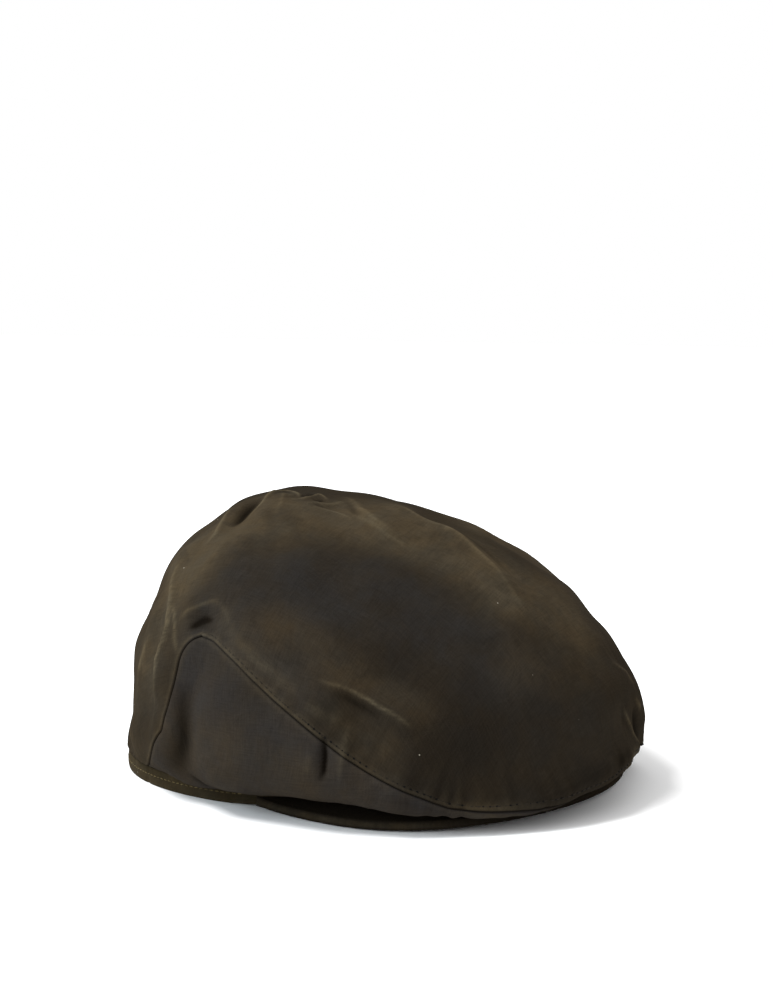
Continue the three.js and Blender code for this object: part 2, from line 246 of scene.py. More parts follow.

# %% [markdown]
# ## Folds and creases
# Waxed cloth remembers how it was carried. It keeps broad soft folds, and thin creases where
# the wax has cracked. A fold here is a line through a few places on the crown, with a height
# and a width. The broad ones are the rows of the measured model, with the dent under the seam
# made shallower: soft round bumps so close along their line that they run together. The thin
# ones have a crisper section, which falls off with the distance from the line, and they thin
# out towards their two ends. Their crests are painted lighter, for rubbed wax and partly as a
# highlight, and their valleys darker with painted shade. A few of them are wide and only lift
# the edge or paint shade onto the cloth. Plain text tables keep so many rows easy to read and
# to change.

# %% Read a table
def places_of(text):
    """Places with commas between them: each is a bearing and a rise."""
    return np.array([[float(x) for x in place.split()] for place in text.split(",")])


def table(text):
    """A text table as a dictionary: each row has a name, its numbers and its places, and goes
    on in the lines below it that start with spaces."""
    rows = {}
    for row in text.strip().replace("\n    ", " ").splitlines():
        name, numbers, places = row.split(":")
        rows[name] = [*map(float, numbers.split()), places_of(places)]
    return rows


# %% The broad folds
# Each fold: its height, its width, and the three places that it runs through.
FOLDS = table("""
rear ridge, top: 2.2 7: -116 1.64, -127 1.48, -130 1.4
rear ridge, foot: 2 6: -127 1.39, -120 1.24, -122 1.08
rear hollow: -2 8: -133 1.36, -126 1.2, -127 0.98
back ridge: 1.8 8: -133 1.3, -132 1.1, -139 0.7
pocket behind the top: -3 7: -113 1.62, -110 1.73, -106 1.82
lip of the pocket: 2 7: -101 1.72, -98 1.81, -100 1.92
ridge along the top: 1.6 9: -24 1.84, -28 1.76, -26 1.67
long crease: 1.8 10: -4 1.8, -9 1.66, -17 1.4
hollow past the crease: -1.8 12: 6 1.76, 0 1.6, -6 1.42
dimple over the corner: -1.4 5: -108 1.27, -105 1.295, -101 1.29
ridge over the dimple: 1.5 7: -112 1.32, -105 1.36, -97 1.34
crease over the seam: 1.8 8: -75 1.195, -66 1.195, -56 1.145
hollow over the seam: -1.4 8: -74 1.13, -65 1.1, -55 1.08
side hollow: -2.4 10: -107 1.16, -108.5 1.02, -110 0.42
dent under the seam: -1.2 6: -72.5 1.04, -73 0.98, -73.5 0.9
front pucker, high: -2 7: 6 1.25, 14 1.2, 20 1.15
front pucker, low: -1.8 6: 0 1.11, 3 1.06, 8 1.01
front ridge: 1.6 7: 12 1.12, 16 1.1, 22 1.06
front droop: 5.5 10: -29 0.82, -16 0.8, -4 0.82
far front hollow: -3.6 10: 10 1.04, 20 0.99, 29 0.98
far front tuck: -1.2 9: 9 0.86, 14 0.88, 19 0.9
left rear ridge: 2 8: 120 1.6, 127 1.4, 121 1.1
left rear hollow: -2 9: 112 1.56, 117 1.36, 113 1.18
left side hollow: -2.2 10: 100 1.1, 101 0.9, 102 0.45
left crease: 1.8 9: 78 1.25, 66 1.23, 52 1.17
left front hollow: -1.6 9: 62 1.12, 52 1.1, 40 1.09
back hollow: -1.8 12: 166 1.34, 170 1.12, 168 0.8
""")
print(len(FOLDS), "broad folds")

# %% The thin creases of the rear and the top
# Each crease: its height, its width, how much its crest is painted lighter, for rubbed wax and
# partly as a highlight, or, below zero, how much painted shade darkens its valley, and its places.
CREASES = table("""
rear crest, high: 1.2 1.5 1: -130 1.72, -126.9 1.688, -123.5 1.653, -121 1.62, -118.4 1.588,
    -117.7 1.55, -119 1.52
rear crest, long: 1.3 1.5 1: -124.5 1.46, -125.7 1.43, -124.3 1.388, -123 1.361, -121.3 1.33,
    -119.7 1.294, -118.9 1.255, -119.2 1.213, -119.9 1.17, -119.7 1.139, -120 1.1, -121.4 1.063
rear crest, branch: 0.5 1.8 0.3: -121.3 1.33, -119 1.24, -121 1.13, -123 0.98
short crest: 0.8 1.4 0.8: -119.4 1.316, -117 1.288, -115.4 1.235, -114.1 1.21, -113 1.193
rear valley: -0.7 2.2 -0.35: -123 1.3, -121.5 1.24, -122.5 1.15, -123 1.02
back crest: 0.9 2 0.5: -130.1 1.214, -132.1 1.174, -133.5 1.137, -134.6 1.091, -133.2 1.04
back crest, foot: 0.7 1.8 0.4: -139 0.8, -138 0.5, -136 0.2
edge of the back: 0.7 2 0.35: -139.5 1.32, -145.8 1.278, -148.7 1.239, -147.1 1.2, -144 1.16
pocket floor: -2.4 3 -0.7: -109.5 1.84, -113.5 1.8, -116 1.75, -115.8 1.7, -116 1.667, -117 1.645
pocket crest: 1.4 1.7 1: -100 1.93, -101.4 1.87, -102.1 1.811, -103.7 1.763, -106.5 1.71
line from the top: 0.5 1.8 0.4: -78 1.92, -82 1.885, -85 1.788, -88 1.74
crest over the top: 1.2 2 1.1: -100.8 1.87, -98.5 1.92, -92 1.945, -80 1.952, -68 1.943, -59 1.915,
    -60 1.87, -64 1.835
swell under the top: 0.7 4.5 0.25: -92 1.89, -80 1.885, -70 1.865
top crinkle, first: 1.1 1.3 1.25: -77 1.825, -69.5 1.815, -62.8 1.818, -48.1 1.858, -34 1.893,
    -28 1.899, -30 1.878, -34.5 1.852
top crinkle, third: 1.1 1.3 1.2: -64.1 1.779, -54.5 1.795, -45.1 1.803, -35.9 1.824, -24.9 1.855,
    -19 1.86
top crinkle, low: 0.6 1.5 0.5: -59.4 1.77, -50 1.765, -43.9 1.76, -41.4 1.74, -41.3 1.715
top notch: -1.8 2.2 -1.6: -62 1.845, -54 1.862, -46 1.878, -31 1.915
top valley: -1.1 1.6 -1.1: -52 1.825, -44 1.838, -37 1.85
top valley, low: -0.5 1.6 -0.3: -60 1.79, -50 1.783, -43 1.785
crest along the top: 1 2.8 0.65: 1.3 1.9, -11.8 1.867, -23.3 1.815, -31 1.75, -33 1.71, -31.9 1.684,
    -28 1.665
valley along the top: -0.8 2.2 -0.4: -16 1.87, -27 1.81, -35 1.755, -37 1.72
second crest along the top: 0.5 2.4 0.4: -34 1.8, -37 1.72, -34 1.66, -27 1.62
long crest: 1.2 2.2 0.8: -2 1.82, -8 1.73, -9 1.68, -11.5 1.6, -14 1.5, -16.5 1.42
valley past the crest: -0.9 4 -0.4: 1 1.78, -3 1.68, -5 1.6, -8 1.52
""")
print(len(CREASES), "thin creases so far")

# %% The thin creases of the near side and the front
# Two rows here have no height and only paint shade: one under the overhanging front, and one round
# the dimple behind the ear.
CREASES |= table("""
dimple crease: -0.5 1.9 -1.2: -111 1.262, -109 1.275, -107.3 1.289, -105.3 1.3, -102.5 1.304
crest over the dimple: 0.8 1.8 0.45: -115 1.27, -113.3 1.29, -111 1.31, -108.6 1.322, -105.5 1.339,
    -103 1.35, -100.5 1.356
flank of the dimple: 0.4 2.2 0.12: -101.6 1.355, -99.3 1.342, -97.5 1.325, -96 1.3, -94.7 1.28
swell beside the seam: 0.8 3.8 0.15: -96 1.29, -92.4 1.251, -89.7 1.227, -86.9 1.206, -79 1.155
crest over the seam: 1.1 1.25 0.75: -74 1.2, -71.8 1.196, -69 1.196, -66.1 1.191, -63.6 1.182,
    -61.1 1.17, -58.2 1.158, -55 1.139
lit patch over the seam: 0.8 3.6 0.2: -77 1.14, -73 1.12, -69 1.13
fall below the crest: -1 2.4 -0.5: -71 1.178, -68 1.176, -64.5 1.165, -61 1.15
side fold, dark: -1.2 8.5 -0.8: -110.8 1.13, -110.6 1.05, -111.2 0.95, -111.4 0.6, -111.4 0.3
side fold, lit: 0.4 4 0: -104.5 1.12, -104.5 1, -105 0.8
dent crease: -2.4 1.5 -1: -73.4 1.075, -73.2 1.049, -73.2 1.029, -73.5 0.995, -73.8 0.906, -74 0.86
dent side: 1 2.2 0.35: -68 1.12, -69 1.081, -69.5 1.05, -70 1.01, -70.5 0.94
dent far side: 0.5 2.6 0.2: -76 1.03, -76.5 0.97, -77 0.9
lower fold: -1.5 2.2 -1: -106.3 0.37, -105.1 0.338, -100.9 0.28, -96.7 0.22, -91 0.2
lower edge, behind: -1.5 8 0: -92 0.25, -84 0.25, -77 0.33, -72 0.42, -66 0.44
lower edge, middle: -1.3 7 0: -62 0.52, -57 0.57, -51 0.66, -47 0.73
lower edge, ahead: 2 8 0: -45 0.77, -40 0.79, -34 0.77, -28 0.77
fill of the front: 2.2 5 0: 14 0.92, 12 0.84, 8 0.76, 2 0.78, -6 0.81
dark under the front: 0 12 -0.45: -45 0.93, -30 0.88, -14 0.86, -2 0.84, 6 0.82
dark round the dimple: 0 10 -0.4: -110 1.26, -107 1.28, -103 1.29
belly over the hem: 0.9 5 0: -100 0.55, -95 0.44, -88 0.4
pucker crest, high: 1.1 1.5 1: 3 1.24, 8 1.215, 14 1.196, 19 1.177, 23 1.15
pucker crest, middle: 0.8 1.6 0.6: 9 1.13, 11.1 1.109, 14.1 1.09
pucker crest, low: 1.2 1.3 1: 1.6 1.115, 3.4 1.083, 5.1 1.057, 7.6 1.031, 10.2 1.01, 14 0.99
pucker valley: -1.7 2.2 -1: 8 1.1, 11.5 1.062, 13 1.032, 15 1
fall of the front: -0.9 2.8 -0.5: -0.5 0.955, -5 0.945, -9 0.925
lift of the front: 0.6 1.8 0.3: -10 1.016, -10.8 0.979, -10.5 0.914
pucker beside it: 0.5 1.6 0.4: 2 0.92, 0 0.84, -2 0.79
""")
print(len(CREASES), "thin creases so far")

# %% The thin creases of the far side and the back
CREASES |= table("""
left crest, rear: 1.6 2.4 0.4: 119 1.62, 125 1.5, 127 1.4, 123 1.25, 120 1.1
left crest, back: 0.9 1.9 0.3: 138 1.35, 136 1.2, 139 1, 137 0.7
left dimple: -1.6 1.7 -0.8: 108 1.26, 105 1.29, 100 1.3
left crest over the seam: 1 2 0.3: 84 1.24, 74 1.235, 64 1.2, 56 1.16
left fold: -0.9 3.2 0: 101 1.1, 102 0.9, 103 0.5
left dent: -1.6 1.8 -1: 66 1.03, 65 0.97, 66 0.9
left long crest: 1.4 2.8 0.3: 24 1.8, 28 1.66, 36 1.5, 40 1.38
left top crinkle: 0.6 1.6 0.4: 60 1.9, 48 1.86, 40 1.82
back fold, first: 1.5 3 0.2: 168 1.5, 172 1.3, 169 1.1, 171 0.8
back fold, second: 1.4 2.8 0.25: -166 1.56, -162 1.38, -166 1.15
back fold, low: -0.9 3.2 0: 150 1, 152 0.7, 149 0.35
back fold, right: -0.9 3.2 0: -154 1.05, -157 0.75, -153 0.4
""")
print(len(CREASES), "thin creases")

# %% Distances from a line
def spline(places, samples):
    """A smooth curve through a list of places, evenly sampled: between two places it is the
    cubic whose slopes are half the step between the places on either side."""
    padded = np.concatenate([places[:1], places, places[-1:]])
    spot = np.linspace(0, len(places) - 1, samples)
    i = np.minimum(spot.astype(int), len(places) - 2)
    t = (spot - i)[:, None]
    p, q, r, z = (padded[i + k] for k in range(4))
    return q + 0.5 * t * (r - p + t * (2 * p - 5 * q + 4 * r - z + t * (3 * q - p - 3 * r + z)))


def steps(line):
    """The distance from each point of a line to the next one."""
    return norm(np.diff(line, axis=0))


def arc_of(line):
    """How far along its line each point lies, from 0 at the first one."""
    return np.concatenate([[0], np.cumsum(steps(line))])


def close_to(points, line, reach):
    """Which points lie in the box round a line, widened by reach."""
    return np.all((points > line.min(0) - reach) & (points < line.max(0) + reach), axis=-1)


def beside(points, line):
    """How far each point lies from a line of samples, and how far along the line. The nearest
    sample comes from all the squared distances at once. The part of the offset that runs along
    the line is then taken off, except past its two ends."""
    centre = line.mean(0)
    p, q = points - centre, line - centre
    squared = (p**2).sum(-1)[:, None] + (q**2).sum(-1) - 2 * p @ q.T
    near = squared.argmin(1)
    step = np.gradient(line, axis=0)
    stride = norm(step)
    offset = p - q[near]
    ahead = (offset * step[near]).sum(-1) / stride[near]
    inside = np.clip(ahead, -stride[near], stride[near])
    aside = np.sqrt(np.maximum((offset**2).sum(-1) - ahead**2, 0) + (ahead - inside) ** 2)
    return aside, arc_of(line)[near] + inside


print("fold round the left half: %.0f mm" % steps(crown(np.arange(181), 1.0)).sum())

# %% The lift of folds and creases
BUMPS_PER_WIDTH = 2
FOLD_START_RISE = 0.35
CREASE_SAMPLES = 48
CREASE_REACH = 5
CREASE_FADE = 0.55
CREASE_ROUNDING = 0.25
CREASE_POWER = 0.75
CREASE_END = 0.001
CREST_RUB_AND_HIGHLIGHT_WIDTH = 0.5
VALLEY_SHADE_WIDTH = 0.7
RUB_AND_SHADE_FADE = 1.4


def bell(distance, width):
    """A bell of height 1: e to the power of minus the square of the distance in widths."""
    return np.exp(-((distance / width) ** 2))


def fold_lift(points, rise):
    """The lift of the broad folds: the sum of round bumps along each quadratic line, faded out
    towards the hem."""
    lift = np.zeros(points.shape[:-1])
    for height, width, places in FOLDS.values():
        total = steps(crown(*places.T)).sum()
        count = int(np.ceil(BUMPS_PER_WIDTH * total / width))
        s = np.linspace(0, 1, count + 1)[:, None]
        start, middle, end = places
        bumps = (1 - s) * (1 - 2 * s) * start + 4 * s * (1 - s) * middle + s * (2 * s - 1) * end
        strength = height * total / count / (width * np.sqrt(np.pi))
        for centre in crown(*bumps.T):
            lift += strength * np.exp(-((points - centre) ** 2).sum(-1) / width**2)
    return lift * smooth(rise, 0, FOLD_START_RISE)


def crease_lift(points):
    """The lift of the thin creases, and how much their crests are painted lighter, for rubbed
    wax and partly as a highlight, or their valleys darker with painted shade. The section is a
    bell with a crisp top, and the height fades along the line as a flattened half wave."""
    flat = points.reshape(-1, 3)
    lift = np.zeros(len(flat))
    wear_and_painted_light = np.zeros(len(flat))
    for height, width, rub_light_and_shade, places in CREASES.values():
        line = crown(*spline(places, CREASE_SAMPLES).T)
        near = close_to(flat, line, CREASE_REACH * width)
        aside, arc = beside(flat[near], line)
        share = np.clip(arc / steps(line).sum(), CREASE_END, 1 - CREASE_END)
        fade = np.sin(np.pi * share) ** CREASE_FADE
        crisp = ((aside / width) ** 2 + CREASE_ROUNDING) ** CREASE_POWER
        lift[near] += height * fade * np.exp(-crisp + CREASE_ROUNDING**CREASE_POWER)
        # Above zero the crest is painted lighter, for rubbed wax and partly as a highlight; below
        # zero painted shade darkens the valley.
        spread = (CREST_RUB_AND_HIGHLIGHT_WIDTH if rub_light_and_shade > 0 else VALLEY_SHADE_WIDTH) * width
        wear_and_painted_light[near] += rub_light_and_shade * fade**RUB_AND_SHADE_FADE * bell(aside, spread)
    return lift.reshape(points.shape[:-1]), wear_and_painted_light.reshape(points.shape[:-1])


crest = crown(*spline(CREASES["long crest"][-1], CREASE_SAMPLES).T)
print("highest point of the long crest: %.1f mm" % crease_lift(crest)[0].max())

# %% [markdown]
# ## The seams and their puckers
# Each side has one long seam from the corner behind the ear to the middle of the front, and one
# short seam from that corner down to the hem. The top panel is turned under along them and
# stitched down, so its edge laps a little proud of the side panel, and the thread draws the
# cloth beyond it into shallow puckers. The seam lines are smooth curves close to those of the
# measured model. The distance from the nearest seam gives groove, lap and puckers.

# %% Seam lines
FRONT_SEAM = places_of("""
    106 1.251, 101.5 1.243, 97 1.217, 92.5 1.188, 88 1.151, 84 1.12, 78 1.086, 72.8 1.059,
    66 1.033, 59 1.019, 52 1.007, 46 0.987, 34 0.9, 24 0.838, 12 0.8, 0 0.8
""")
REAR_SEAM = places_of("""
    121.6 0, 122.5 0.2, 122.8 0.42, 122 0.66, 121 0.8, 119.7 0.9, 118.2 0.985, 116.9 1.027,
    115 1.065, 113.4 1.115, 112.3 1.18, 110.6 1.215, 108.3 1.238, 106 1.251
""")
SEAM_SAMPLES = 320


def seam_line(seam, side):
    """A seam on one side of the cap as points on the smooth crown. side is 1 left, -1 right."""
    places = spline(seam, SEAM_SAMPLES)
    return crown(side * places[:, 0], places[:, 1])


print("front seam %.0f mm long" % steps(seam_line(FRONT_SEAM, 1)).sum())

# %% Puckers
PUCKER_LENGTH = 9.5
# Each slow wave: its height, its length in millimetres and its phase.
WANDER = ((1.4, 47, 0), (0.8, 29, 2))
SWELL_MIDDLE = 0.55
SWELL = ((0.3, 61, 1), (0.15, 23, 0))


def wave(distance, length, phase):
    """A sine wave of height 1 with a length and a phase."""
    return np.sin(distance * 2 * np.pi / length + phase)


def slow(arc, rows, middle=0.0):
    """The sum of slow waves about a middle value."""
    return sum((height * wave(arc, length, phase) for height, length, phase in rows), middle)


def pucker(arc):
    """A wave that swells and wanders along a seam, so that no two puckers are alike."""
    return slow(arc, SWELL, SWELL_MIDDLE) * wave(arc, PUCKER_LENGTH, slow(arc, WANDER))


print("puckers from %.2f to %.2f" % (pucker(np.arange(200)).min(), pucker(np.arange(200)).max()))

# %% Groove, lap and puckers
GROOVE_DEPTH = 0.55
GROOVE_WIDTH = 0.30
# The thin line of painted shade in the seam groove: its width and strength.
SEAM_SHADE_WIDTH = 0.38
SEAM_SHADE_DEPTH = 0.9
LAP_HEIGHT = 0.45
LAP_EDGE = (0.1, 0.7)
LAP_FADE = (2.0, 5.5)
LAP_RUB = 0.15
RUB_PLACE = 1
FAINT = 0.5
SIDE_SHARE = 0.5
STITCH_PLACE = 2.0
STITCH_DEPTH = 0.25
STITCH_WIDTH = 0.55
PUCKER_EDGE = (0.5, 4)
PUCKER_REACH = 8.0
PUCKER_HEIGHT = 1.6
PUCKER_BEARING = 48
PUCKER_SPREAD = 20
PUCKER_LEAST, PUCKER_MORE = 0.3, 0.7
SEAM_REACH = 25
CLEAR_OVER = 40
# Each seam, the strength of its lap and puckers, and how far along it starts to get clearer.
# The rear seam is clear all along, so that it has a place well before its start.
SEAMS = ((FRONT_SEAM, 1.0, 35), (REAR_SEAM, 0.4, -99))


def seam_lift(points, bearing, upper):
    """Groove, lap, stitch line and puckers along both seams of each side, how rubbed the cloth
    beside them is, and a thin line of painted shade along the groove. upper is 1 on the top
    panel, whose edge carries the lap and the stitches, and 0 on a side panel, whose puckers are
    half as high."""
    flat = points.reshape(-1, 3)
    lift = np.zeros(len(flat))
    wear_and_painted_light = np.zeros(len(flat))
    drawn = bell(np.abs(bearing).ravel() - PUCKER_BEARING, PUCKER_SPREAD)
    drawn = PUCKER_LEAST + PUCKER_MORE * drawn
    for side in (-1, 1):
        for seam, strength, faint_to in SEAMS:
            line = seam_line(seam, side)
            near = close_to(flat, line, SEAM_REACH)
            aside, arc = beside(flat[near], line)
            clear = FAINT + (1 - FAINT) * smooth(arc, faint_to, faint_to + CLEAR_OVER)
            groove = -GROOVE_DEPTH * clear * bell(aside, GROOVE_WIDTH)
            lap = LAP_HEIGHT * upper * smooth(aside, *LAP_EDGE) * (1 - smooth(aside, *LAP_FADE))
            stitched = -STITCH_DEPTH * upper * bell(aside - STITCH_PLACE, STITCH_WIDTH)
            window = smooth(aside, *PUCKER_EDGE) * np.exp(-aside / PUCKER_REACH)
            waves = PUCKER_HEIGHT * strength * drawn[near] * pucker(arc) * window
            waves = waves * (SIDE_SHARE + (1 - SIDE_SHARE) * upper)
            lift[near] += groove + strength * (lap + stitched) + waves
            wear_and_painted_light[near] += (LAP_RUB + LAP_RUB * upper) * np.exp(-((aside - RUB_PLACE) ** 2) / 2)
            # Painted shade: a thin near-black line along the seam groove.
            wear_and_painted_light[near] -= SEAM_SHADE_DEPTH * clear * bell(aside, SEAM_SHADE_WIDTH)
    return lift.reshape(points.shape[:-1]), wear_and_painted_light.reshape(points.shape[:-1])


corner = crown(*FRONT_SEAM[:1].T)
print("groove at the corner: %.2f mm" % seam_lift(corner, FRONT_SEAM[:1, 0], 1)[0][0])

# %% Slack and gathers
SLACK_SEED = 7
SLACK_WAVES = 14
SLACK_HEIGHT = 0.30
SLACK_STRENGTH = 1.6
SLACK_SHORTEST = 17.0
SLACK_LONGEST = 55.0
GATHER_HEIGHT = 0.5
GATHERS_TO_A_PUCKER = 1.3
GATHER_EDGE = (0.0, 0.04)
GATHER_FADE = 0.12
FLUSH_EDGE = (0.0, 0.15)
FLUSH_FADE = 0.1


def slack(points):
    """The slight unevenness of limp cloth: a sum of plane waves in fixed random directions."""
    chance = np.random.default_rng(SLACK_SEED)
    lift = np.zeros(points.shape[:-1])
    for _ in range(SLACK_WAVES):
        direction = unit(chance.normal(size=3))
        length = chance.uniform(SLACK_SHORTEST, SLACK_LONGEST)
        phase = chance.uniform(0, 2 * np.pi)
        height = SLACK_HEIGHT * length / SLACK_LONGEST * SLACK_STRENGTH
        lift += height * wave(points @ direction, length, phase)
    return lift


def gathered(bearing):
    """Puckers round the head opening, set closer than those of a seam."""
    return pucker(np.radians(bearing) * HEAD_HALF_LENGTH * GATHERS_TO_A_PUCKER)


def hem_lift(bearing, rise):
    """Small gathers just above the hem, where the cloth is eased onto the band, and a slight
    swell that brings the foot of the cloth flush with the band behind the temples."""
    gathers = GATHER_HEIGHT * gathered(bearing) * np.exp(-rise / GATHER_FADE)
    behind = 1 - smooth(forward(bearing), *FLUSH_EDGE)
    flush = BAND_PROUD * behind * np.exp(-rise / FLUSH_FADE)
    return gathers * smooth(rise, *GATHER_EDGE) + flush


print("slack at the top: %.2f mm" % slack(crown(0.0, 2.0)))

# %% [markdown]
# ## Colour in the cloth
# Waxed cotton has no even colour. Where the wax lies thick it is nearly black, where it has
# thinned the olive of the cloth comes through, old folds turn russet, and flat stretches look
# grey; a few grey patches near the corner behind the ear are painted cool sheen. Each soft patch
# is a short line on the crown with a radius and three strengths. The patches become three
# numbers stored on every point of the mesh, called olive, russet and grey. A fourth number, for
# wear and painted light, comes from the creases and seams: above zero on a crest, which is
# lighter for rubbed wax and partly as a painted highlight, and below zero where painted shade
# darkens a valley. The material reads all four.

# %% Patches of colour
# Each patch: its radius, how much olive, russet and grey it adds, and its places.
# The grey of the patches round the corner behind the ear, over the seam beside it and low on the
# side is painted cool sheen, and part of the grey at the rear and the shoulder is painted cool
# light.
PATCHES = table("""
rear: 20 0.72 0.05 0.6: -128 1.15, -122 1.45
shoulder: 22 0.95 0.05 0.5: -122 1.5, -112 1.66, -96 1.7
over the top: 20 0.68 0.15 0: -90 1.76, -50 1.72, -30 1.76
along the long crease: 16 1 0.15 0: -27 1.79, -20.5 1.72, -17 1.62, -16.5 1.49
past the long crease: 15 0.6 0.15 0: -12 1.46, -9 1.38, -4 1.33
over the front: 16 0.5 0.1 0: -6 1.62, 2 1.42
low russet: 9 0.28 0.8 0: -83 1.325, -74 1.28, -67 1.24
russet over the crest: 7 0.35 0.6 0: -67 1.222, -60 1.205, -53 1.185
olive under the crest: 9 0.3 0.1 0: -70 1.12, -62 1.09
front russet: 12 0.25 0.5 0: -26 1.28, -14 1.26
over the seam: 12 0.2 0 0.9: -97 1.3, -90 1.235, -80 1.175
front low: 14 0.12 0 0.3: -26 1.06, -8 1.08
grey middle: 20 0 0 0.9: -93 1.44, -72 1.49, -52 1.46
under the long crease: 9 0.35 0.1 0: -44 1.64, -36 1.62, -30 1.6
grey middle, low: 20 0 0 0.8: -74 1.38, -50 1.38, -34 1.3
grey front: 18 0 0 0.45: -30 1.36, -22 1.2
grey side: 16 0 0 0.7: -98 1.16, -84 1
grey corner: 9 0 0 0.9: -110 1.26, -104 1.3
brown of the side: 19 0.28 0.28 0: -100 0.8, -84 0.75, -70 0.8
rear of the side: 12 0.18 0.4 0: -114 0.95, -112 0.5
back: 22 0.35 0.1 0: -150 1.2, -140 0.6
left shoulder: 30 0.7 0.2 0: 120 1.25, 105 1.6
left middle: 28 0 0 0.7: 70 1.45, 30 1.4
left russet: 15 0.4 0.7 0: 80 1.26, 55 1.2
left front: 18 0.8 0.1 0: 30 1.6, 34 1.36
left side: 20 0.3 0.4 0: 100 0.9, 70 0.85
middle of the back: 26 0.5 0.25 0: 172 1.5, 160 1
""")
PATCH_SAMPLES = 24


def tints(points):
    """Olive, russet and grey at each point: for every patch, a bell of the distance from its
    line, times its three strengths."""
    flat = points.reshape(-1, 3)
    sums = np.zeros((len(flat), 3))
    for radius, *strengths, places in PATCHES.values():
        aside, _ = beside(flat, crown(*spline(places, PATCH_SAMPLES).T))
        sums += bell(aside, radius)[:, None] * np.array(strengths)
    return np.clip(sums, 0, 1).reshape(points.shape[:-1] + (3,))


print(len(PATCHES), "patches of colour")

# %% [markdown]
# ## From formulas to meshes
# A grid of points becomes a mesh by joining each point to its neighbours with four-sided faces.
# Cloth has two faces and a thickness, so each panel is an outer grid, an inner grid below it and
# narrow strips that close its edges. The grids of one panel share their border points, and those
# are merged at the end. The weave needs its own coordinates, in millimetres along the threads,
# and these go into a UV map.

# %% Mesh helpers
MERGE_WITHIN = 0.004 * MM
# The fourth number holds rubbed wear together with painted highlight and painted shade.
TRAITS = ("olive", "russet", "grey", "wear_and_painted_light")


def weave_of(points):
    """Coordinates along the threads: each point keeps its direction from the top as seen from
    above, at its straight distance from the top."""
    offset = points - np.array([0, CROWN_TOP_Y, CROWN_HEIGHT])
    return unit(offset[..., :2]) * norm(offset)[..., None]


def part_of(points, traits, weave=None, flip=False):
    """One grid of a mesh: its points, the numbers on them, its weave and its facing."""
    return points, traits, weave_of(points) if weave is None else weave, flip


def mesh_of(name, parts, material, caps=()):
    """A Blender object from several grids whose shared border points are merged. caps are
    rings of corner numbers that are closed with one face each."""
    points, traits, weaves, faces = [], [], [], []
    start = 0
    for grid, marks, weave, flip in parts:
        columns, rows = grid.shape[:2]
        index = start + np.arange(columns * rows).reshape(columns, rows)
        quads = np.stack([index[:-1, :-1], index[1:, :-1], index[1:, 1:], index[:-1, 1:]], -1)
        faces.append(quads.reshape(-1, 4)[:, :: -1 if flip else 1])
        points.append(grid.reshape(-1, 3))
        traits.append(marks.reshape(-1, len(TRAITS)))
        weaves.append(weave.reshape(-1, 2))
        start += columns * rows
    points, traits, weaves, faces = map(np.concatenate, (points, traits, weaves, faces))
    mesh = bpy.data.meshes.new(name)
    mesh.from_pydata((points * MM).tolist(), [], faces.tolist() + list(caps))
    corners = np.empty(len(mesh.loops), np.int32)
    mesh.loops.foreach_get("vertex_index", corners)
    uv = mesh.uv_layers.new(name="weave")
    uv.data.foreach_set("uv", weaves[corners].astype(np.float32).ravel())
    for k, trait in enumerate(TRAITS):
        layer = mesh.attributes.new(trait, "FLOAT", "POINT")
        layer.data.foreach_set("value", traits[:, k].astype(np.float32))
    mesh.materials.append(material)
    work = bmesh.new()
    work.from_mesh(mesh)
    bmesh.ops.remove_doubles(work, verts=work.verts, dist=MERGE_WITHIN)
    bmesh.ops.dissolve_degenerate(work, edges=work.edges, dist=MERGE_WITHIN / 4)
    work.to_mesh(mesh)
    work.free()
    mesh.shade_smooth()
    return linked(name, mesh)


def placed(piece, slot, *nodes):
    """The piece rides on the cap's one body and stands for its nodes; slot is not used."""
    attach(piece, "root")
    if nodes:
        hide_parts(*nodes)
    print(piece.name, len(piece.data.vertices), "points,", len(piece.data.polygons), "faces")


print("numbers on each point:", TRAITS)

# %% [markdown]
# ## The waxed finish
# The finish is one recipe with small changes for each piece. The base colour is mixed with grey,
# olive, russet, a light tan and a near black by the numbers on the mesh: the light tan is rubbed
# wax on the crests and partly a painted highlight, and the near black is painted shade. Each mix
# is broken up by noise, so no patch has a clean outline, and a slow drift from cooler to warmer
# keeps large stretches alive. Slubs, which are thicker stretches of thread, are noise drawn out
# along the threads in both directions. The weave itself is two crossed waves in the bump alone,
# because it is finer than the eye sees from here. Rubbed and highlighted crests are lighter and
# duller. This old wax has no mirror shine: it gets a rough surface and a faint warm sheen.

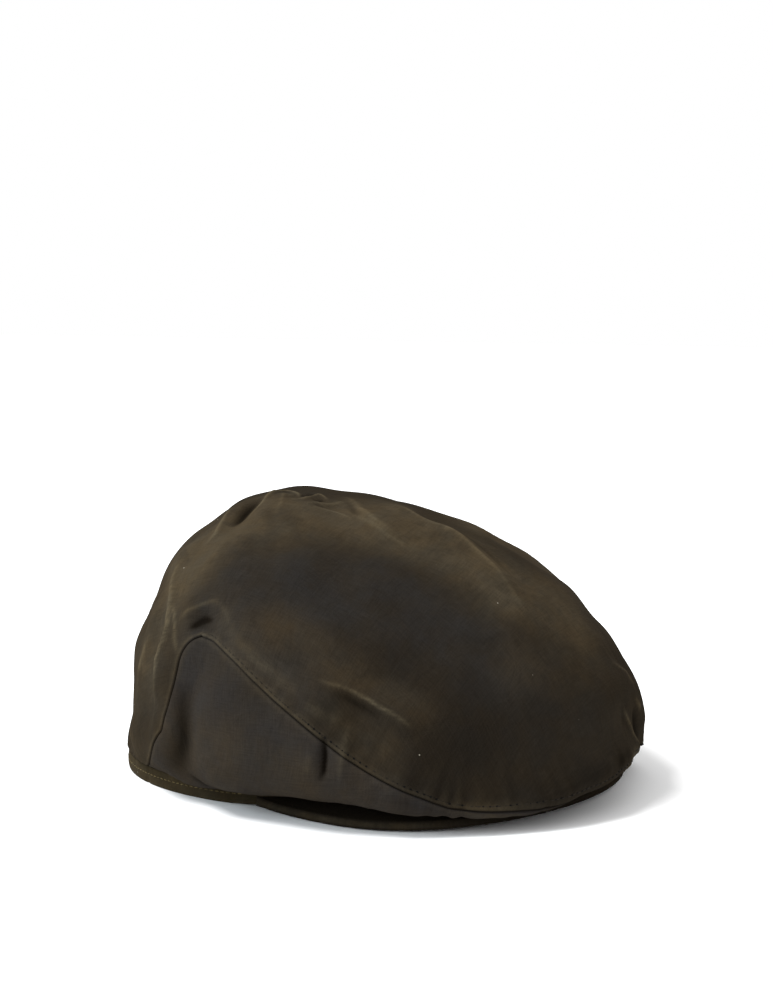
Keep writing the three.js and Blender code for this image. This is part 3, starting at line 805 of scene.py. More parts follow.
# %% Node helpers
class Recipe:
    """A small wrapper that adds nodes to one material and links them by name."""

    def __init__(self, name):
        self.material = bpy.data.materials.new(name)
        self.material.use_nodes = True
        self.tree = self.material.node_tree
        self.shader = self.tree.nodes["Principled BSDF"]

    def node(self, kind, inputs=None, **settings):
        """A node with its settings, and its inputs by name or number: a value or a socket."""
        made = self.tree.nodes.new("ShaderNode" + kind)
        for key, value in settings.items():
            setattr(made, key, value)
        for key, value in (inputs or {}).items():
            self.join(value, made.inputs[key])
        return made

    def join(self, value, socket):
        """A link into a socket if value is a socket, or else the socket's own value."""
        if isinstance(value, bpy.types.NodeSocket):
            self.tree.links.new(value, socket)
        else:
            socket.default_value = value

    def finish(self, inputs):
        """Values or sockets for the shader's own inputs: the finished material."""
        for key, value in inputs.items():
            self.join(value, self.shader.inputs[key])
        return self.material

    def math(self, operation, *values, clamp=False):
        """One sum: its result's socket."""
        made = self.node("Math", dict(enumerate(values)), operation=operation, use_clamp=clamp)
        return made.outputs[0]

    def mix(self, share, first, second, blend="MIX"):
        """Two colours mixed by a share: the result's socket."""
        inputs = {0: share, 6: first, 7: second}
        return self.node("Mix", inputs, data_type="RGBA", blend_type=blend).outputs[2]

    def noise(self, where, scale, detail, roughness=0.55, distortion=0.0):
        """Cloudy noise from 0 to 1, scale clouds to a metre or to a unit of the weave."""
        inputs = {"Vector": where, "Scale": scale, "Detail": detail, "Roughness": roughness}
        return self.node("TexNoise", inputs | {"Distortion": distortion}).outputs["Fac"]

    def span(self, value, low, high, out_low=0.0, out_high=1.0):
        """A value from low to high spread softly over a new span, and held at its ends."""
        inputs = {0: value, 1: low, 2: high, 3: out_low, 4: out_high}
        return self.node("MapRange", inputs, interpolation_type="SMOOTHSTEP").outputs[0]

    def trait(self, name):
        """A number stored on the mesh."""
        return self.node("Attribute", attribute_name=name).outputs["Fac"]

    def shade(self, tone, value):
        """A colour made darker or lighter: each of its three parts times a value."""
        factor = self.node("CombineColor", {0: value, 1: value, 2: value}).outputs[0]
        return self.mix(1.0, tone, factor, "MULTIPLY")


print("Recipe has", [name for name in vars(Recipe) if name[0] != "_"])

# %% Colours and grain of waxed cotton
BLACK_WAX = (0.0112, 0.0088, 0.0062, 1)
SIDE_WAX = (0.0158, 0.0137, 0.0122, 1)
HEM_WAX = (0.0150, 0.0116, 0.0058, 1)
PEAK_WAX = (0.0090, 0.0074, 0.0056, 1)
OLIVE = (0.0378, 0.0286, 0.0172, 1)
RUSSET = (0.0240, 0.0172, 0.0100, 1)
GREY = (0.0142, 0.0124, 0.0106, 1)
# A light tan for rubbed wax on crests, partly a painted highlight, and a near black for painted
# shade in valleys, seams, hollows and under the crown.
RUBBED_AND_HIGHLIGHT = (0.0800, 0.0630, 0.0370, 1)
VALLEY_SHADE = (0.0025, 0.0018, 0.0012, 1)
SPECK = (0.22, 0.20, 0.16, 1)
COOLER = (0.955, 1.0, 1.08, 1)
WARMER = (1.035, 0.995, 0.94, 1)
# Each noise: its scale, then its detail, roughness and distortion.
CLOUDS = (34.0, 4.0, 0.6, 0.4)
MOTTLE = (160.0, 5.0, 0.65)
GRAIN = (1400.0, 2.0)
DRIFT = (60.0, 3.0, 0.6)
CRINKLE = (75.0, 3.0, 0.5, 1.2)
SLUBS = (1.0, 3.0, 0.6)
SLUB_STRETCHES = ((0.10, 1.6, 1), (1.6, 0.10, 1))
WEAVE = {"Scale": 0.62, "Distortion": 0.4}
RUBBED_AND_HIGHLIGHT_SHARE = 0.7
VALLEY_SHADE_SHARE = 0.93
SPECK_SPACING = {"Scale": 95.0, "Randomness": 1.0}
SPECK_EDGE = (0.022, 0.036)
SPECKS_LEFT_OUT = 0.72
# Each span: where a value starts and ends, and what it becomes there if not 0 and 1.
UNEVEN = (0.45, 1.05, 0.45, 1.35)
RUSSET_CLOUDS = (0.3, 0.7)
WORN_MOTTLE = (0.35, 0.65, 0.6, 1.0)
WORN_CLOUDS = (0.38, 0.62, 0.7, 1.1)
FLECKS = (0.85, 1.65, 0.83, 1.17)
DRIFTING = (0.3, 0.7)
GLOSS = (0.4, 1.1, -0.07, 0.09)
WORN_GLOSS = 0.10
FINER_SHARE = 0.5
FINISH = {
    "Specular IOR Level": 0.0,
    "Sheen Weight": 0.02,
    "Sheen Roughness": 0.6,
    "Sheen Tint": (1.0, 0.80, 0.55, 1),
}
BUMP_STRENGTH = 0.8
# How deep each grain is in the bump, in millimetres: crinkle, mottle, slubs, weave and grain.
DEPTHS = (1.1, 0.35, 0.06, 0.02, 0.10)
print("olive is %.1f times as light as black wax" % (OLIVE[1] / BLACK_WAX[1]))

# %% The recipe for waxed cotton
def waxed_cotton(name, base, olive_share=1.0, roughness=0.66):
    """Waxed cotton: the base colour turned grey, olive, russet, lighter on rubbed and highlighted
    crests or darker with painted shade by the numbers on the mesh, with slubs and specks; a dull
    surface broken by the wax; crinkles, slubs and weave in the bump."""
    r = Recipe(name)
    where = r.node("TexCoord").outputs["Object"]
    threads = r.node("UVMap", uv_map="weave").outputs[0]
    clouds, mottle, grain = (r.noise(where, *kind) for kind in (CLOUDS, MOTTLE, GRAIN))
    drawn_out = []
    for stretch in SLUB_STRETCHES:
        mapped = r.node("Mapping", {"Vector": threads, "Scale": stretch}).outputs[0]
        drawn_out.append(r.noise(mapped, *SLUBS))
    slubs = r.math("ADD", *drawn_out)

    broken = r.math("ADD", clouds, r.math("MULTIPLY", mottle, FINER_SHARE))
    uneven = r.span(broken, *UNEVEN)
    tone = r.mix(r.math("MULTIPLY", r.trait("grey"), uneven, clamp=True), base, GREY)
    olive = r.math("MULTIPLY", r.trait("olive"), uneven)
    tone = r.mix(r.math("MULTIPLY", olive, olive_share, clamp=True), tone, OLIVE)
    russet = r.math("MULTIPLY", r.trait("russet"), r.span(clouds, *RUSSET_CLOUDS), clamp=True)
    tone = r.mix(russet, tone, RUSSET)
    # Above zero: crests lighter, for rubbed wax and partly as a painted highlight.
    worn_and_lit = r.math("MAXIMUM", r.trait("wear_and_painted_light"), 0.0)
    worn_and_lit = r.math("MULTIPLY", worn_and_lit, r.span(mottle, *WORN_MOTTLE))
    worn_and_lit = r.math("MULTIPLY", worn_and_lit, r.span(clouds, *WORN_CLOUDS))
    tone = r.mix(r.math("MULTIPLY", worn_and_lit, RUBBED_AND_HIGHLIGHT_SHARE, clamp=True), tone, RUBBED_AND_HIGHLIGHT)
    # Below zero: painted shade, mixed towards near black in valleys, seams and hollows.
    painted_shade = r.math("MULTIPLY", r.trait("wear_and_painted_light"), -VALLEY_SHADE_SHARE, clamp=True)
    tone = r.mix(painted_shade, tone, VALLEY_SHADE)
    fleck = r.math("ADD", slubs, r.math("MULTIPLY", grain, FINER_SHARE))
    tone = r.shade(tone, r.span(fleck, *FLECKS))
    drift = r.span(r.noise(where, *DRIFT), *DRIFTING)
    tone = r.mix(1.0, tone, r.mix(drift, COOLER, WARMER), "MULTIPLY")
    specks = r.node("TexVoronoi", {"Vector": where} | SPECK_SPACING, feature="F1").outputs
    near_speck = r.span(specks["Distance"], *SPECK_EDGE, 1.0, 0.0)
    chance = r.node("SeparateColor", {0: specks["Color"]}).outputs[0]
    chosen = r.math("GREATER_THAN", chance, SPECKS_LEFT_OUT)
    tone = r.mix(r.math("MULTIPLY", near_speck, chosen), tone, SPECK)

    gloss = r.math("ADD", r.span(broken, *GLOSS), roughness)
    gloss = r.math("ADD", gloss, r.math("MULTIPLY", worn_and_lit, WORN_GLOSS), clamp=True)
    r.finish({"Base Color": tone, "Roughness": gloss} | FINISH)

    crossed = []
    for way in "XY":
        thread = r.node("TexWave", {"Vector": threads} | WEAVE, bands_direction=way)
        crossed.append(thread.outputs["Fac"])
    weave = r.math("ADD", *crossed)
    crinkle = r.noise(where, *CRINKLE)
    inputs = {"Strength": BUMP_STRENGTH}
    for height, depth in zip((crinkle, mottle, slubs, weave, grain), DEPTHS):
        inputs |= {"Height": height, "Distance": depth * MM}
        inputs["Normal"] = r.node("Bump", inputs).outputs[0]
    return r.finish({"Normal": inputs["Normal"]})


top_cloth = waxed_cotton("waxed_top_cloth", BLACK_WAX)
side_cloth = waxed_cotton("waxed_side_cloth", SIDE_WAX, 0.8)
hem_cloth = waxed_cotton("waxed_hem_cloth", HEM_WAX, 0.8, 0.7)
peak_cloth = waxed_cotton("waxed_peak_cloth", PEAK_WAX, 0.6)
print("materials:", [m.name for m in bpy.data.materials])

# %% [markdown]
# ## The panels
# The top panel is drawn from the two front seams up to the top, and down the back to the hem.
# Its columns follow the seams, so the roll and the puckers lie square to the grid, and the rows
# crowd together beside the seam, where the small forms are. A side panel fills the corner
# between its two seams, the hem and the middle of the front. A blend of its four edges gives
# every place inside: this is the classic way to stretch a grid between four curves.

# %% The dressed cloth
# A share of each crease and seam lift that paints raised cloth lighter and hollows darker: painted
# light and shade.
PAINTED_RELIEF_SHADE = 0.18
INNER_EVERY = 8
CREASE_EDGE = (0.0, 0.08)
HEM_RUB = 0.15
HEM_RUB_RISE = 0.06


def lowest(lift, reach):
    """The lowest lift within reach rows of each point, so that a coarse grid stays below."""
    wide = np.pad(lift, ((0, 0), (reach, reach)), "edge")
    return np.min([wide[:, k : k + lift.shape[1]] for k in range(2 * reach + 1)], axis=0)


def dressed(bearing, rise, upper):
    """The outer face of the cloth with every fold, its inner face under it, which keeps below
    the valleys, and the traits of both."""
    bearing, rise = np.broadcast_arrays(bearing, rise)
    base = crown(bearing, rise)
    out = outward(bearing, rise)
    broad = fold_lift(base, rise)
    thin, crest = crease_lift(base)
    seam, edge = seam_lift(base, bearing, upper)
    waves = slack(base) * smooth(rise, *CREASE_EDGE)
    thin = thin * smooth(rise, *CREASE_EDGE)
    outer = base + out * (broad + waves + thin + hem_lift(bearing, rise) + seam)[..., None]
    valley = lowest(np.minimum(thin, 0), INNER_EVERY)
    inner = base + out * (broad + waves + valley - CLOTH)[..., None]
    # Painted light and shade: besides rubbed crests, valley and seam shade and the rubbed hem, a
    # share of each crease and seam lift paints raised cloth lighter and hollows darker.
    rub_light_and_shade = crest + edge + HEM_RUB * np.exp(-rise / HEM_RUB_RISE) + PAINTED_RELIEF_SHADE * (thin + seam)
    traits = np.concatenate([tints(base), np.clip(rub_light_and_shade, -1, 1)[..., None]], -1)
    return outer, inner, traits


print("dressed hem at the back:", dressed(np.array([[180.0]]), np.array([[0.0]]), 1.0)[0].round(1))

# %% Grids between the seams
SEAM_STEPS = 2001
# The four edges of a grid, each in the direction that makes its strip face away from it.
FOOT, HEAD, FIRST, LAST = np.s_[:, 0], np.s_[::-1, -1], np.s_[0, ::-1], np.s_[-1, :]


def crowded(count, power, even=0.0):
    """Shares from 0 to 1 that crowd together near 0: even shares raised to a power, mixed with
    a part of the even shares themselves."""
    u = np.linspace(0, 1, count + 1)
    return even * u + (1 - even) * u**power


def along(at, arc, columns):
    """Columns of numbers that are known along a line, at other places along it."""
    return np.stack([np.interp(at, arc, column) for column in columns.T], -1)


def seam_places(seam, shares):
    """Bearings and rises along a seam at shares of its length."""
    places = spline(seam, SEAM_STEPS)
    line = crown(*places.T)
    return along(shares, arc_of(line) / steps(line).sum(), places)


def strip(outer, inner, traits, edge):
    """The narrow strip that closes one edge of a panel between its two faces."""
    marks = traits[edge]
    return part_of(np.stack([inner[edge], outer[edge]], 1), np.stack([marks, marks], 1))


print("middle of the front seam:", seam_places(FRONT_SEAM, np.array([0.5])).round(2))

# %% The top panel
RIGHT_COLUMNS = 185
LEFT_COLUMNS = 110
BACK_RIGHT_COLUMNS = 70
BACK_LEFT_COLUMNS = 32
DOME_ROWS = 168
SKIRT_ROWS = 88
ROW_CROWDING = 1.15
BACK_CROWDING = 1.3
LEFT_CROWDING = (2.2, 0.45)


def top_panel():
    """Three grids, outside and inside: a front dome over both front seams, a back dome and the
    skirt below it down to the hem, between the two rear seams."""
    right = seam_places(FRONT_SEAM, np.linspace(0, 1, RIGHT_COLUMNS + 1))
    left = seam_places(FRONT_SEAM, 1 - crowded(LEFT_COLUMNS, *LEFT_CROWDING)[::-1])
    corner_bearing, corner_rise = right[0]
    rising = crowded(DOME_ROWS, ROW_CROWDING)
    # From the right corner over the middle of the front to the left corner.
    front_bearing = np.concatenate([-right[:-1, 0], left[::-1, 0]])[:, None]
    front_rise = np.concatenate([right[:-1, 1], left[::-1, 1]])[:, None]
    # From the left corner round the back to the right corner.
    left_u = crowded(BACK_LEFT_COLUMNS, BACK_CROWDING)[:-1]
    right_u = crowded(BACK_RIGHT_COLUMNS, BACK_CROWDING)[::-1]
    u = np.concatenate([left_u, right_u])[:, None]
    side = np.repeat([1, -1], [len(left_u), len(right_u)])[:, None]
    rear, up = seam_places(REAR_SEAM, np.linspace(0, 1, SKIRT_ROWS + 1)).T
    skirt_rise = up + (corner_rise * np.linspace(0, 1, SKIRT_ROWS + 1) - up) * u
    back_bearing = side * (corner_bearing + (180 - corner_bearing) * u)
    grids = (
        (front_bearing, front_rise + (2 - front_rise) * rising, INNER_EVERY, (FOOT,)),
        (back_bearing, corner_rise + (2 - corner_rise) * rising, INNER_EVERY, ()),
        (side * (rear + (180 - rear) * u), skirt_rise, 1, (FOOT, FIRST, LAST)),
    )
    parts = []
    for bearing, rise, every, edges in grids:
        faces = outer, inner, traits = dressed(bearing, rise, 1.0)
        parts.append(part_of(outer, traits))
        parts.append(part_of(inner[:, ::every], traits[:, ::every], flip=True))
        parts += [strip(*faces, edge) for edge in edges]
    return mesh_of("top_panel_cloth", parts, top_cloth)


placed(top_panel(), "waxed_top", "top_panel")

# %% The side panels
SIDE_COLUMNS = 300
SIDE_ROWS = 84
SIDE_CROWDING = 1.5
SIDE_EVEN = 0.35


def side_panel(side, name):
    """One grid between the front seam, the rear seam, the hem and the middle of the front: the
    blend of the seams less the corner that they share."""
    u = crowded(SIDE_COLUMNS, SIDE_CROWDING, SIDE_EVEN)
    v = 1 - crowded(SIDE_ROWS, SIDE_CROWDING)[::-1]
    upper = seam_places(FRONT_SEAM, u)[:, None]
    rear = seam_places(REAR_SEAM, v)[None]
    up = v[None, :, None]
    places = up * upper + (1 - u[:, None, None]) * (rear - up * FRONT_SEAM[0])
    bearing = side * places[..., 0]
    outer, inner, traits = dressed(bearing, places[..., 1], 0.0)
    if side > 0:
        bearing, outer, inner, traits = (grid[::-1] for grid in (bearing, outer, inner, traits))
    weave = np.stack([np.radians(bearing) * FOLD_REACH_FRONT, outer[..., 2]], -1)
    parts = [part_of(outer, traits, weave), part_of(inner, traits, weave, flip=True)]
    parts += [strip(outer, inner, traits, edge) for edge in (FOOT, HEAD, FIRST, LAST)]
    return mesh_of(name, parts, side_cloth)


placed(side_panel(-1, "side_panel_right_cloth"), "waxed_side", "side_panel_right")
placed(side_panel(1, "side_panel_left_cloth"), "waxed_side", "side_panel_left")

# %% [markdown]
# ## The hem
# The cloth is folded under round the head opening, which leaves a soft band of even height. It
# lies on the table at the back and the sides, and rises over the forehead. Its section is a
# rounded slab, and it is carried round the ellipse of the opening. The rear seams run down
# through it, and they show as two grooves.

# %% The hem band
BAND_COLUMNS = 420
BAND_SECTION = 30
CORNER_POWER = 0.35
BAND_BULGE = 0.35
PULL_UP, PULL_WIDTH, PULL_DEPTH = 1.9, 0.8, 0.3
BAND_GATHERS, BAND_GATHER_EDGE = 0.22, (-2.5, 3)
BAND_SEAM_WIDTH, BAND_SEAM_DEPTH, BAND_SEAM_RADIUS = 0.8, 0.9, 90
BAND_OLIVE = 0.45
BAND_RUB, BAND_FOOT_RUB, BAND_FOOT_WIDTH = 0.05, 0.25, 1.2


def rounded(angle, half_width, half_height):
    """A slab with round edges: a circle's sine and cosine, each raised to a small power."""
    c, s = np.cos(angle), np.sin(angle)
    x = half_width * np.sign(c) * np.abs(c) ** CORNER_POWER
    z = half_height * np.sign(s) * np.abs(s) ** CORNER_POWER
    return x, z


def hem_band():
    """The slab section carried round the opening. Its outer face bulges, is pulled in along
    the thread, gathers towards its top, and has grooves where the rear seams cross it."""
    bearing = np.linspace(-180, 180, BAND_COLUMNS + 1)[:, None]
    angle = np.linspace(0, 2 * np.pi, BAND_SECTION + 1)[None]
    across, up = rounded(angle, BAND_THICKNESS / 2, BAND_HEIGHT / 2)
    outside = across > 0
    bulge = BAND_BULGE * np.cos(np.pi * up / BAND_HEIGHT) * outside
    pulled = -PULL_DEPTH * bell(up - PULL_UP, PULL_WIDTH) * outside
    gathers = BAND_GATHERS * gathered(bearing) * outside * smooth(up, *BAND_GATHER_EDGE)
    from_seam = (np.abs(bearing) - REAR_SEAM[0, 0]) * np.pi / 180 * BAND_SEAM_RADIUS
    outset = BAND_PROUD - BAND_THICKNESS / 2 + across + bulge + pulled + gathers
    outset = outset - BAND_SEAM_DEPTH * bell(from_seam, BAND_SEAM_WIDTH) * outside
    points = by_opening(bearing, outset, BAND_FRONT_LIFT * forward(bearing) + BAND_HEIGHT / 2 + up)
    traits = np.zeros(points.shape[:-1] + (len(TRAITS),))
    traits[..., 0] = BAND_OLIVE
    traits[..., 3] = BAND_RUB + BAND_FOOT_RUB * bell(up + BAND_HEIGHT / 2, BAND_FOOT_WIDTH)
    arc = np.radians(bearing) * HEAD_HALF_LENGTH
    weave = np.stack(np.broadcast_arrays(arc, up), -1)
    return mesh_of("hem_band_cloth", [part_of(points, traits, weave)], hem_cloth)


placed(hem_band(), "waxed_hem", "hem_band")

# %% [markdown]
# ## The peak
# The peak is a stiff board covered with the same cloth. Seen from above it is half an ellipse
# with two wings that run back to the temples. Its section is flat with a round outer edge: the
# rows run out along the top, round the edge in a half circle, and back along the underside. Its
# top lies in the shade of the crown, and that shade is painted into its colour, as is the shade
# of its underside and of its front edge under the crown; only its side edges are rubbed.

# %% The outline of the peak
PEAK_HALF_WIDTH = 96.0
PEAK_WIDEST_Y = -39.0
PEAK_REACH = 75.0
PEAK_TIP = (84.6, 13.0)
PEAK_FRONT_LIFT = 3.0
PEAK_WING_SHARE = 0.25


def peak_edge(u):
    """The outer edge seen from above: half an ellipse for the middle of u, from -1 to 1, and
    on each side a wing that curves in to the tip as the square of its share."""
    share = np.abs(u)
    bend = 1 - PEAK_WING_SHARE
    turn = 90 * np.minimum(share / bend, 1)
    lift = PEAK_FRONT_LIFT * np.cos(np.radians(turn)) ** 2
    front = on_ellipse(turn, PEAK_HALF_WIDTH, PEAK_REACH, PEAK_WIDEST_Y, lift)
    back = np.clip((share - bend) / PEAK_WING_SHARE, 0, 1)
    wing_x = PEAK_HALF_WIDTH + (PEAK_TIP[0] - PEAK_HALF_WIDTH) * back**2
    wing_y = PEAK_WIDEST_Y + (PEAK_TIP[1] - PEAK_WIDEST_Y) * back
    edge = np.where((share <= bend)[:, None], front, np.stack([wing_x, wing_y, 0 * back], -1))
    edge[:, 0] *= np.sign(u)
    return edge


print("tip, front and tip of the peak:", peak_edge(np.array([-1.0, 0.0, 1.0])).round(1).tolist())

# %% The peak
PEAK_TIP_BEARING = 80.0
PEAK_THICKNESS = 3.5
PEAK_ROOT_LIFT = 14.0
PEAK_CAMBER = 1.5
PEAK_COLUMNS = 240
PEAK_FLAT_ROWS = 26
PEAK_EDGE_ROWS = 10
# The roll of the edge and the line of stitches inside it: height, distance in, width.
EDGE_ROLL = (0.25, 1.6, 1.1)
EDGE_DIP = (0.2, 3.6, 0.8)
PEAK_OLIVE = 0.15
PEAK_RUSSET = 0.3
TOP_SHARE = 0.9
UNDER_EDGE = (-0.3, 0.7)
AHEAD_EDGE = (0.55, 0.9)
# Rubbed wear on the side edges; painted shade on the front edge and the top under the crown and on
# the underside, and the darkest it may get.
EDGE_RUB, EDGE_BAND_WIDTH, FRONT_EDGE_SHADE = 0.3, 1.6, 0.7
TOP_SHADE, TOP_SHADE_EDGE, UNDER_SHADE, DEEPEST_SHADE = 0.85, (0.4, 2.6), 0.4, -0.9


def peak():
    """Columns round the peak from tip to tip, and rows out over the top, round the edge and
    back below it."""
    u = np.linspace(-1, 1, PEAK_COLUMNS + 1)
    bearing = PEAK_TIP_BEARING * u
    root = by_opening(bearing, BAND_PROUD + GAP, PEAK_ROOT_LIFT * forward(bearing))
    edge = peak_edge(u)
    width = norm(edge - root)[:, None]
    half = PEAK_THICKNESS / 2
    radius = np.minimum(half, width / 2)
    flat = np.linspace(0, 1, PEAK_FLAT_ROWS) * (width - radius)
    turn = np.linspace(np.pi / 2, -np.pi / 2, PEAK_EDGE_ROWS + 2)[1:-1]
    round_out = width - radius + radius * np.cos(turn)
    out = np.concatenate([flat, round_out, flat[:, ::-1], flat[:, :1]], 1)
    level = np.ones(PEAK_FLAT_ROWS)
    up = half * np.concatenate([level, np.sin(turn), -level, level[:1]])
    share = np.clip(out / np.maximum(width, TINY), 0, 1)
    points = root[:, None] + (edge - root)[:, None] * share[..., None]
    camber = 4 * PEAK_CAMBER * share * (1 - share) * forward(bearing)[:, None]
    inset = width - out
    roll, dip = (height * bell(inset - at, wide) for height, at, wide in (EDGE_ROLL, EDGE_DIP))
    points[..., 2] += half + up + camber + (roll - dip) * (up > TOP_SHARE * half)
    # Painted shade darkens the underside, the front edge and the top under the crown; the side
    # edges are rubbed lighter.
    under = smooth(-up / half, *UNDER_EDGE)
    ahead = smooth(forward(bearing), *AHEAD_EDGE)[:, None]
    rub_light_and_shade = (EDGE_RUB - FRONT_EDGE_SHADE * ahead) * bell(inset, EDGE_BAND_WIDTH)
    rub_light_and_shade = rub_light_and_shade - TOP_SHADE * smooth(inset, *TOP_SHADE_EDGE) - UNDER_SHADE * under
    traits = np.zeros(points.shape[:-1] + (len(TRAITS),))
    traits[..., 0] = PEAK_OLIVE
    traits[..., 1] = PEAK_RUSSET
    traits[..., 3] = np.maximum(rub_light_and_shade, DEEPEST_SHADE)
    rows = out.shape[1]
    caps = [list(range(rows - 1))[::-1], [PEAK_COLUMNS * rows + j for j in range(rows - 1)]]
    part = part_of(points, traits, points[..., :2], flip=True)
    return mesh_of("peak_cloth", [part], peak_cloth, caps)


placed(peak(), "waxed_peak", "peak")

# %% [markdown]
# ## The stitching
# The top panel is topstitched 2 mm above the front seam. The thread is as dark as the cloth, so
# what shows is the row of needle holes and the small dips between them; the shade inside each
# hole is painted as a small near-black bead. Round the hem a lighter olive thread holds the
# turned cloth down. Each stitch is one small capsule that is laid along the seam, and whole rows
# are placed at once by a turn and a shift of one shape.

# %% Paths for the rows of stitches
STITCH_PITCH = 3.0
PATH_SAMPLES = 1200
SOLVE_STEPS = 4
TURN_STEP = 0.1
RISE_STEP = 0.001


def over_seam(seam, side, distance):
    """Bearings and rises of a line that keeps a distance above a seam. From each seam point the
    line is first guessed on the seam, then moved until the crown there meets the target: each
    step solves the two-by-two equations of the two slopes of the crown."""
    places = spline(seam, PATH_SAMPLES)
    bearing, rise = side * places[:, 0], places[:, 1].copy()
    foot = crown(bearing, rise)
    above = unit(np.cross(outward(bearing, rise), unit(np.gradient(foot, axis=0))))
    climb = crown(bearing, rise + STEP) - foot
    above *= np.sign((above * climb).sum(-1, keepdims=True))
    target = foot + distance * above
    for _ in range(SOLVE_STEPS):
        short = (target - crown(bearing, rise))[..., None]
        turned = crown(bearing + TURN_STEP, rise) - crown(bearing - TURN_STEP, rise)
        raised = crown(bearing, rise + RISE_STEP) - crown(bearing, rise - RISE_STEP)
        slopes = np.stack([turned / (2 * TURN_STEP), raised / (2 * RISE_STEP)], -1)
        across = np.swapaxes(slopes, 1, 2)
        move = np.linalg.solve(across @ slopes, across @ short)[..., 0]
        bearing, rise = bearing + move[:, 0], rise + move[:, 1]
    return bearing, rise


def evenly(points, ups, from_share=0.0):
    """Places at the stitches' pitch along a line of points, the direction of the line there,
    and the upward direction."""
    arc = arc_of(points)
    at = np.arange(from_share * arc[-1] + STITCH_PITCH / 2, arc[-1], STITCH_PITCH)
    up = unit(along(at, arc, ups))
    run = along(at, arc, np.gradient(points, axis=0))
    return along(at, arc, points), unit(run - up * (run * up).sum(-1, keepdims=True)), up


print("stitches in a front seam: about %d" % (steps(seam_line(FRONT_SEAM, 1)).sum() / STITCH_PITCH))

# %% Beads: small rounded shapes laid along a path
SHAKE_SEED = 11
BEAD_TURNS = 8
BEAD_ROWS = 7
BEAD_POWER = 0.6


def beads(name, rows, size, sink, material, shake=0.0):
    """Rounded beads at every place of the rows: half axes size along, across and up, sunk by
    sink. The section is a ball whose ends are squared off by a power. shake turns each bead a
    little at random."""
    chance = np.random.default_rng(SHAKE_SEED)
    place, run, up = (np.concatenate([row[k] for row in rows]) for k in range(3))
    turned = chance.normal(0, shake, len(place))[:, None]
    run = unit(run + turned * np.cross(up, run))
    polar = np.linspace(0, np.pi, BEAD_ROWS + 2)[1:-1, None]
    turn = np.linspace(0, 2 * np.pi, BEAD_TURNS, endpoint=False)[None]
    lengthwise = np.sign(np.cos(polar)) * np.abs(np.cos(polar)) ** BEAD_POWER + 0 * turn
    ring = np.sin(polar) ** BEAD_POWER
    shape = np.stack([lengthwise, ring * np.cos(turn), ring * np.sin(turn)], -1).reshape(-1, 3)
    shape = np.concatenate([shape, [[1, 0, 0], [-1, 0, 0]]]) * np.array(size)
    axes = np.stack([run, np.cross(up, run), up], 1)
    points = np.einsum("kj,njd->nkd", shape, axes) + (place - sink * up)[:, None]
    rings = np.arange(BEAD_TURNS * BEAD_ROWS).reshape(BEAD_ROWS, BEAD_TURNS)
    beyond = np.roll(rings, -1, axis=1)
    quads = np.stack([rings[:-1], beyond[:-1], beyond[1:], rings[1:]], -1)
    pole = np.full(BEAD_TURNS, rings.size)
    front = np.stack([beyond[0], rings[0], pole], -1)
    back = np.stack([rings[-1], beyond[-1], pole + 1], -1)
    shift = np.arange(len(place))[:, None, None] * len(shape)
    faces = []
    for face in (quads.reshape(-1, 4), np.concatenate([front, back])):
        faces += (face + shift).reshape(-1, face.shape[1]).tolist()
    mesh = bpy.data.meshes.new(name)
    mesh.from_pydata((points.reshape(-1, 3) * MM).tolist(), [], faces)
    mesh.materials.append(material)
    mesh.shade_smooth()
    return linked(name, mesh)


print("one bead has", BEAD_TURNS * BEAD_ROWS + 2, "points")

# %% Thread and the painted shade of a needle hole
DARK_THREAD = (0.0120, 0.0090, 0.0055, 1)
OLIVE_THREAD = (0.0700, 0.0520, 0.0200, 1)
# The near black of a needle hole is painted shade.
NEEDLE_HOLE_SHADE = (0.0015, 0.0012, 0.0010, 1)
LINT = (300.0, 2.0)
LINT_SPAN = (0.3, 0.7, 0.6, 1.4)
FAINT_SHINE = 0.1


def plain(name, colour, roughness):
    """One colour with a little unevenness, for cotton thread and for the painted shade of
    needle holes.
    """
    r = Recipe(name)
    where = r.node("TexCoord").outputs["Object"]
    tone = r.shade(colour, r.span(r.noise(where, *LINT), *LINT_SPAN))
    inputs = {"Base Color": tone, "Roughness": roughness, "Specular IOR Level": FAINT_SHINE}
    return r.finish(inputs)


dark_thread = plain("dark_thread", DARK_THREAD, 0.7)
olive_thread = plain("olive_thread", OLIVE_THREAD, 0.7)
needle_shade = plain("needle_hole_painted_shade", NEEDLE_HOLE_SHADE, 0.9)
print("threads:", dark_thread.name, "and", olive_thread.name)

# %% Rows over the front seams
SEAM_STITCH = (1.05, 0.24, 0.24)
SEAM_STITCH_SINK = 0.06
SEAM_STITCH_SHAKE = 0.05
# Each hole bead is a near-black shape sitting on the cloth, painted shade for the inside of a
# needle hole.
HOLE = (0.44, 0.36, 0.20)
HOLE_LIFT = 0.08
HOLES_FROM = 0.22

stitches, holes = [], []
for side in (-1, 1):
    bearing, rise = over_seam(FRONT_SEAM, side, STITCH_PLACE)
    points = dressed(bearing[:, None], rise[:, None], 1.0)[0][:, 0]
    ups = outward(bearing, rise)
    stitches.append(evenly(points, ups))
    place, run, up = evenly(points, ups, HOLES_FROM)
    holes.append((place + run * STITCH_PITCH / 2, run, up))
seam_stitches = beads(
    "seam_stitches", stitches, SEAM_STITCH, SEAM_STITCH_SINK, dark_thread, SEAM_STITCH_SHAKE
)
placed(seam_stitches, "waxed_top")
placed(beads("seam_needle_hole_shades", holes, HOLE, -HOLE_LIFT, needle_shade), "waxed_top")

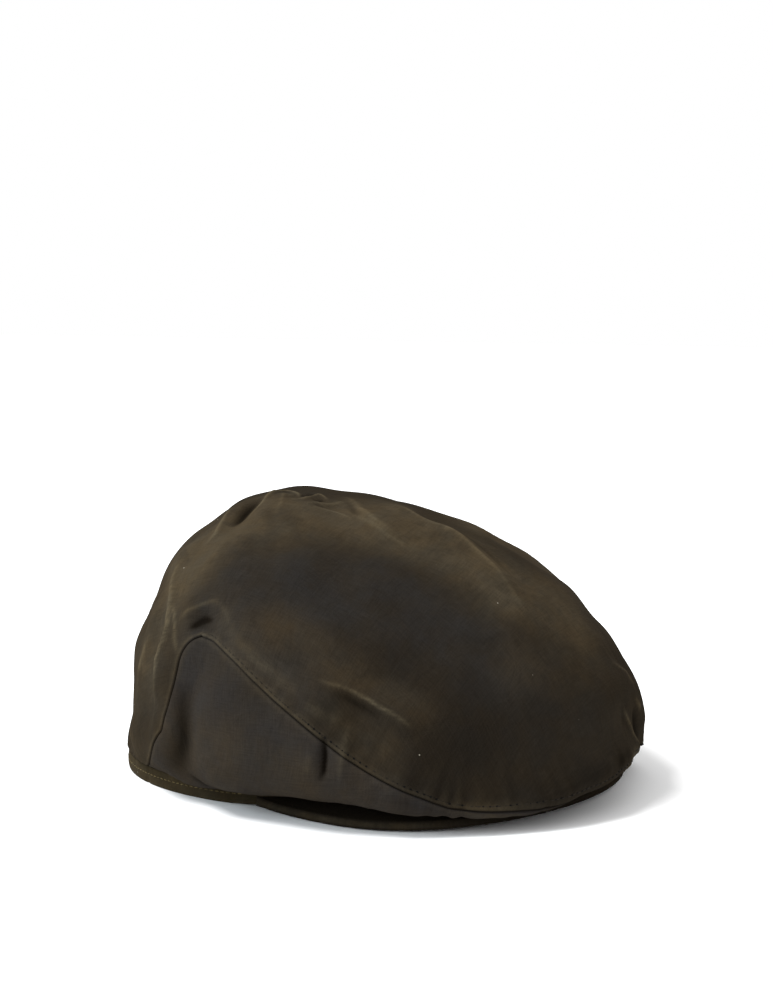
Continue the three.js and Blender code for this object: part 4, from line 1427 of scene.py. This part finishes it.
# %% The row round the hem
HEM_STITCH = (1.0, 0.26, 0.26)
HEM_STITCH_SINK = 0.18
HEM_STITCH_SHAKE = 0.12
HEM_STITCH_HEIGHT = 4.7
HEM_STITCH_OUT = 0.35
HEM_STITCH_FROM = 84.0

swing = np.linspace(HEM_STITCH_FROM, 360 - HEM_STITCH_FROM, PATH_SAMPLES)
height = HEM_STITCH_HEIGHT + BAND_FRONT_LIFT * forward(swing)
hem_line = by_opening(swing, BAND_PROUD + HEM_STITCH_OUT, height)
hem_out = unit(on_ellipse(swing, 1 / HEAD_HALF_WIDTH, 1 / HEAD_HALF_LENGTH, 0.0, 0.0))
hem_row = [evenly(hem_line, hem_out)]
hem_stitches = beads(
    "hem_stitches", hem_row, HEM_STITCH, HEM_STITCH_SINK, olive_thread, HEM_STITCH_SHAKE
)
placed(hem_stitches, "waxed_hem")

# %% [markdown]
# ## The floor and the light
# The cap lies on a white table in a white studio. The floor is one large plane, and it isn't
# part of the cap. A bright sky from all round keeps the background clean. A wide soft sun, high
# up and to the left, models the folds. A weaker, cooler lamp lower down on the same side picks
# out the creases at the rear, and the table throws light back under the brim.

# %% The floor
FLOOR_HALF = 6.0
FLOOR_WHITE = (0.96, 0.96, 0.96, 1)
FLOOR_FINISH = {"Base Color": FLOOR_WHITE, "Roughness": 0.9, "Specular IOR Level": FAINT_SHINE}

sheet = bpy.data.meshes.new("floor")
corners = [(x * FLOOR_HALF, y * FLOOR_HALF, 0) for x, y in ((-1, -1), (1, -1), (1, 1), (-1, 1))]
sheet.from_pydata(corners, [], [(0, 1, 2, 3)])
sheet.materials.append(Recipe("floor_white").finish(FLOOR_FINISH))
floor = linked("floor", sheet)
print("floor", 2 * FLOOR_HALF, "m across")

# %% Sky and lamps
SKY_STRENGTH = 1.0
AIM = (0.0, 0.0, 0.06)
SUN_FROM = (-0.8, 0.75, 1.9)
SUN_STRENGTH = 2.8
SUN_WIDTH = 22
BOX_FROM = (-1.2, 0.9, 0.7)
BOX_WATTS = 14.0
BOX_SIZE = (1.0, 0.8)
BOX_COLOUR = (0.80, 0.92, 1.0)


def lamp(name, kind, place, energy, **settings):
    """A lamp at a place, turned towards the middle of the cap."""
    data = bpy.data.lights.new(name, kind)
    data.energy = energy
    for key, value in settings.items():
        setattr(data, key, value)
    made = linked(name, data)
    made.location = place
    made.rotation_euler = (Vector(AIM) - Vector(place)).to_track_quat("-Z", "Y").to_euler()


world = bpy.data.worlds.new("studio")
bpy.context.scene.world = world
world.use_nodes = True
world.node_tree.nodes["Background"].inputs["Color"].default_value = (1, 1, 1, 1)
world.node_tree.nodes["Background"].inputs["Strength"].default_value = SKY_STRENGTH
box = {"shape": "RECTANGLE", "size": BOX_SIZE[0], "size_y": BOX_SIZE[1], "color": BOX_COLOUR}
lamp("key", "SUN", SUN_FROM, SUN_STRENGTH, angle=np.radians(SUN_WIDTH))
lamp("side_box", "AREA", BOX_FROM, BOX_WATTS, **box)
view = bpy.context.scene.view_settings
view.view_transform = "Standard"
view.look = "None"

# %% [markdown]
# ## The size
# The dressed cap has to keep the size of the measured model.
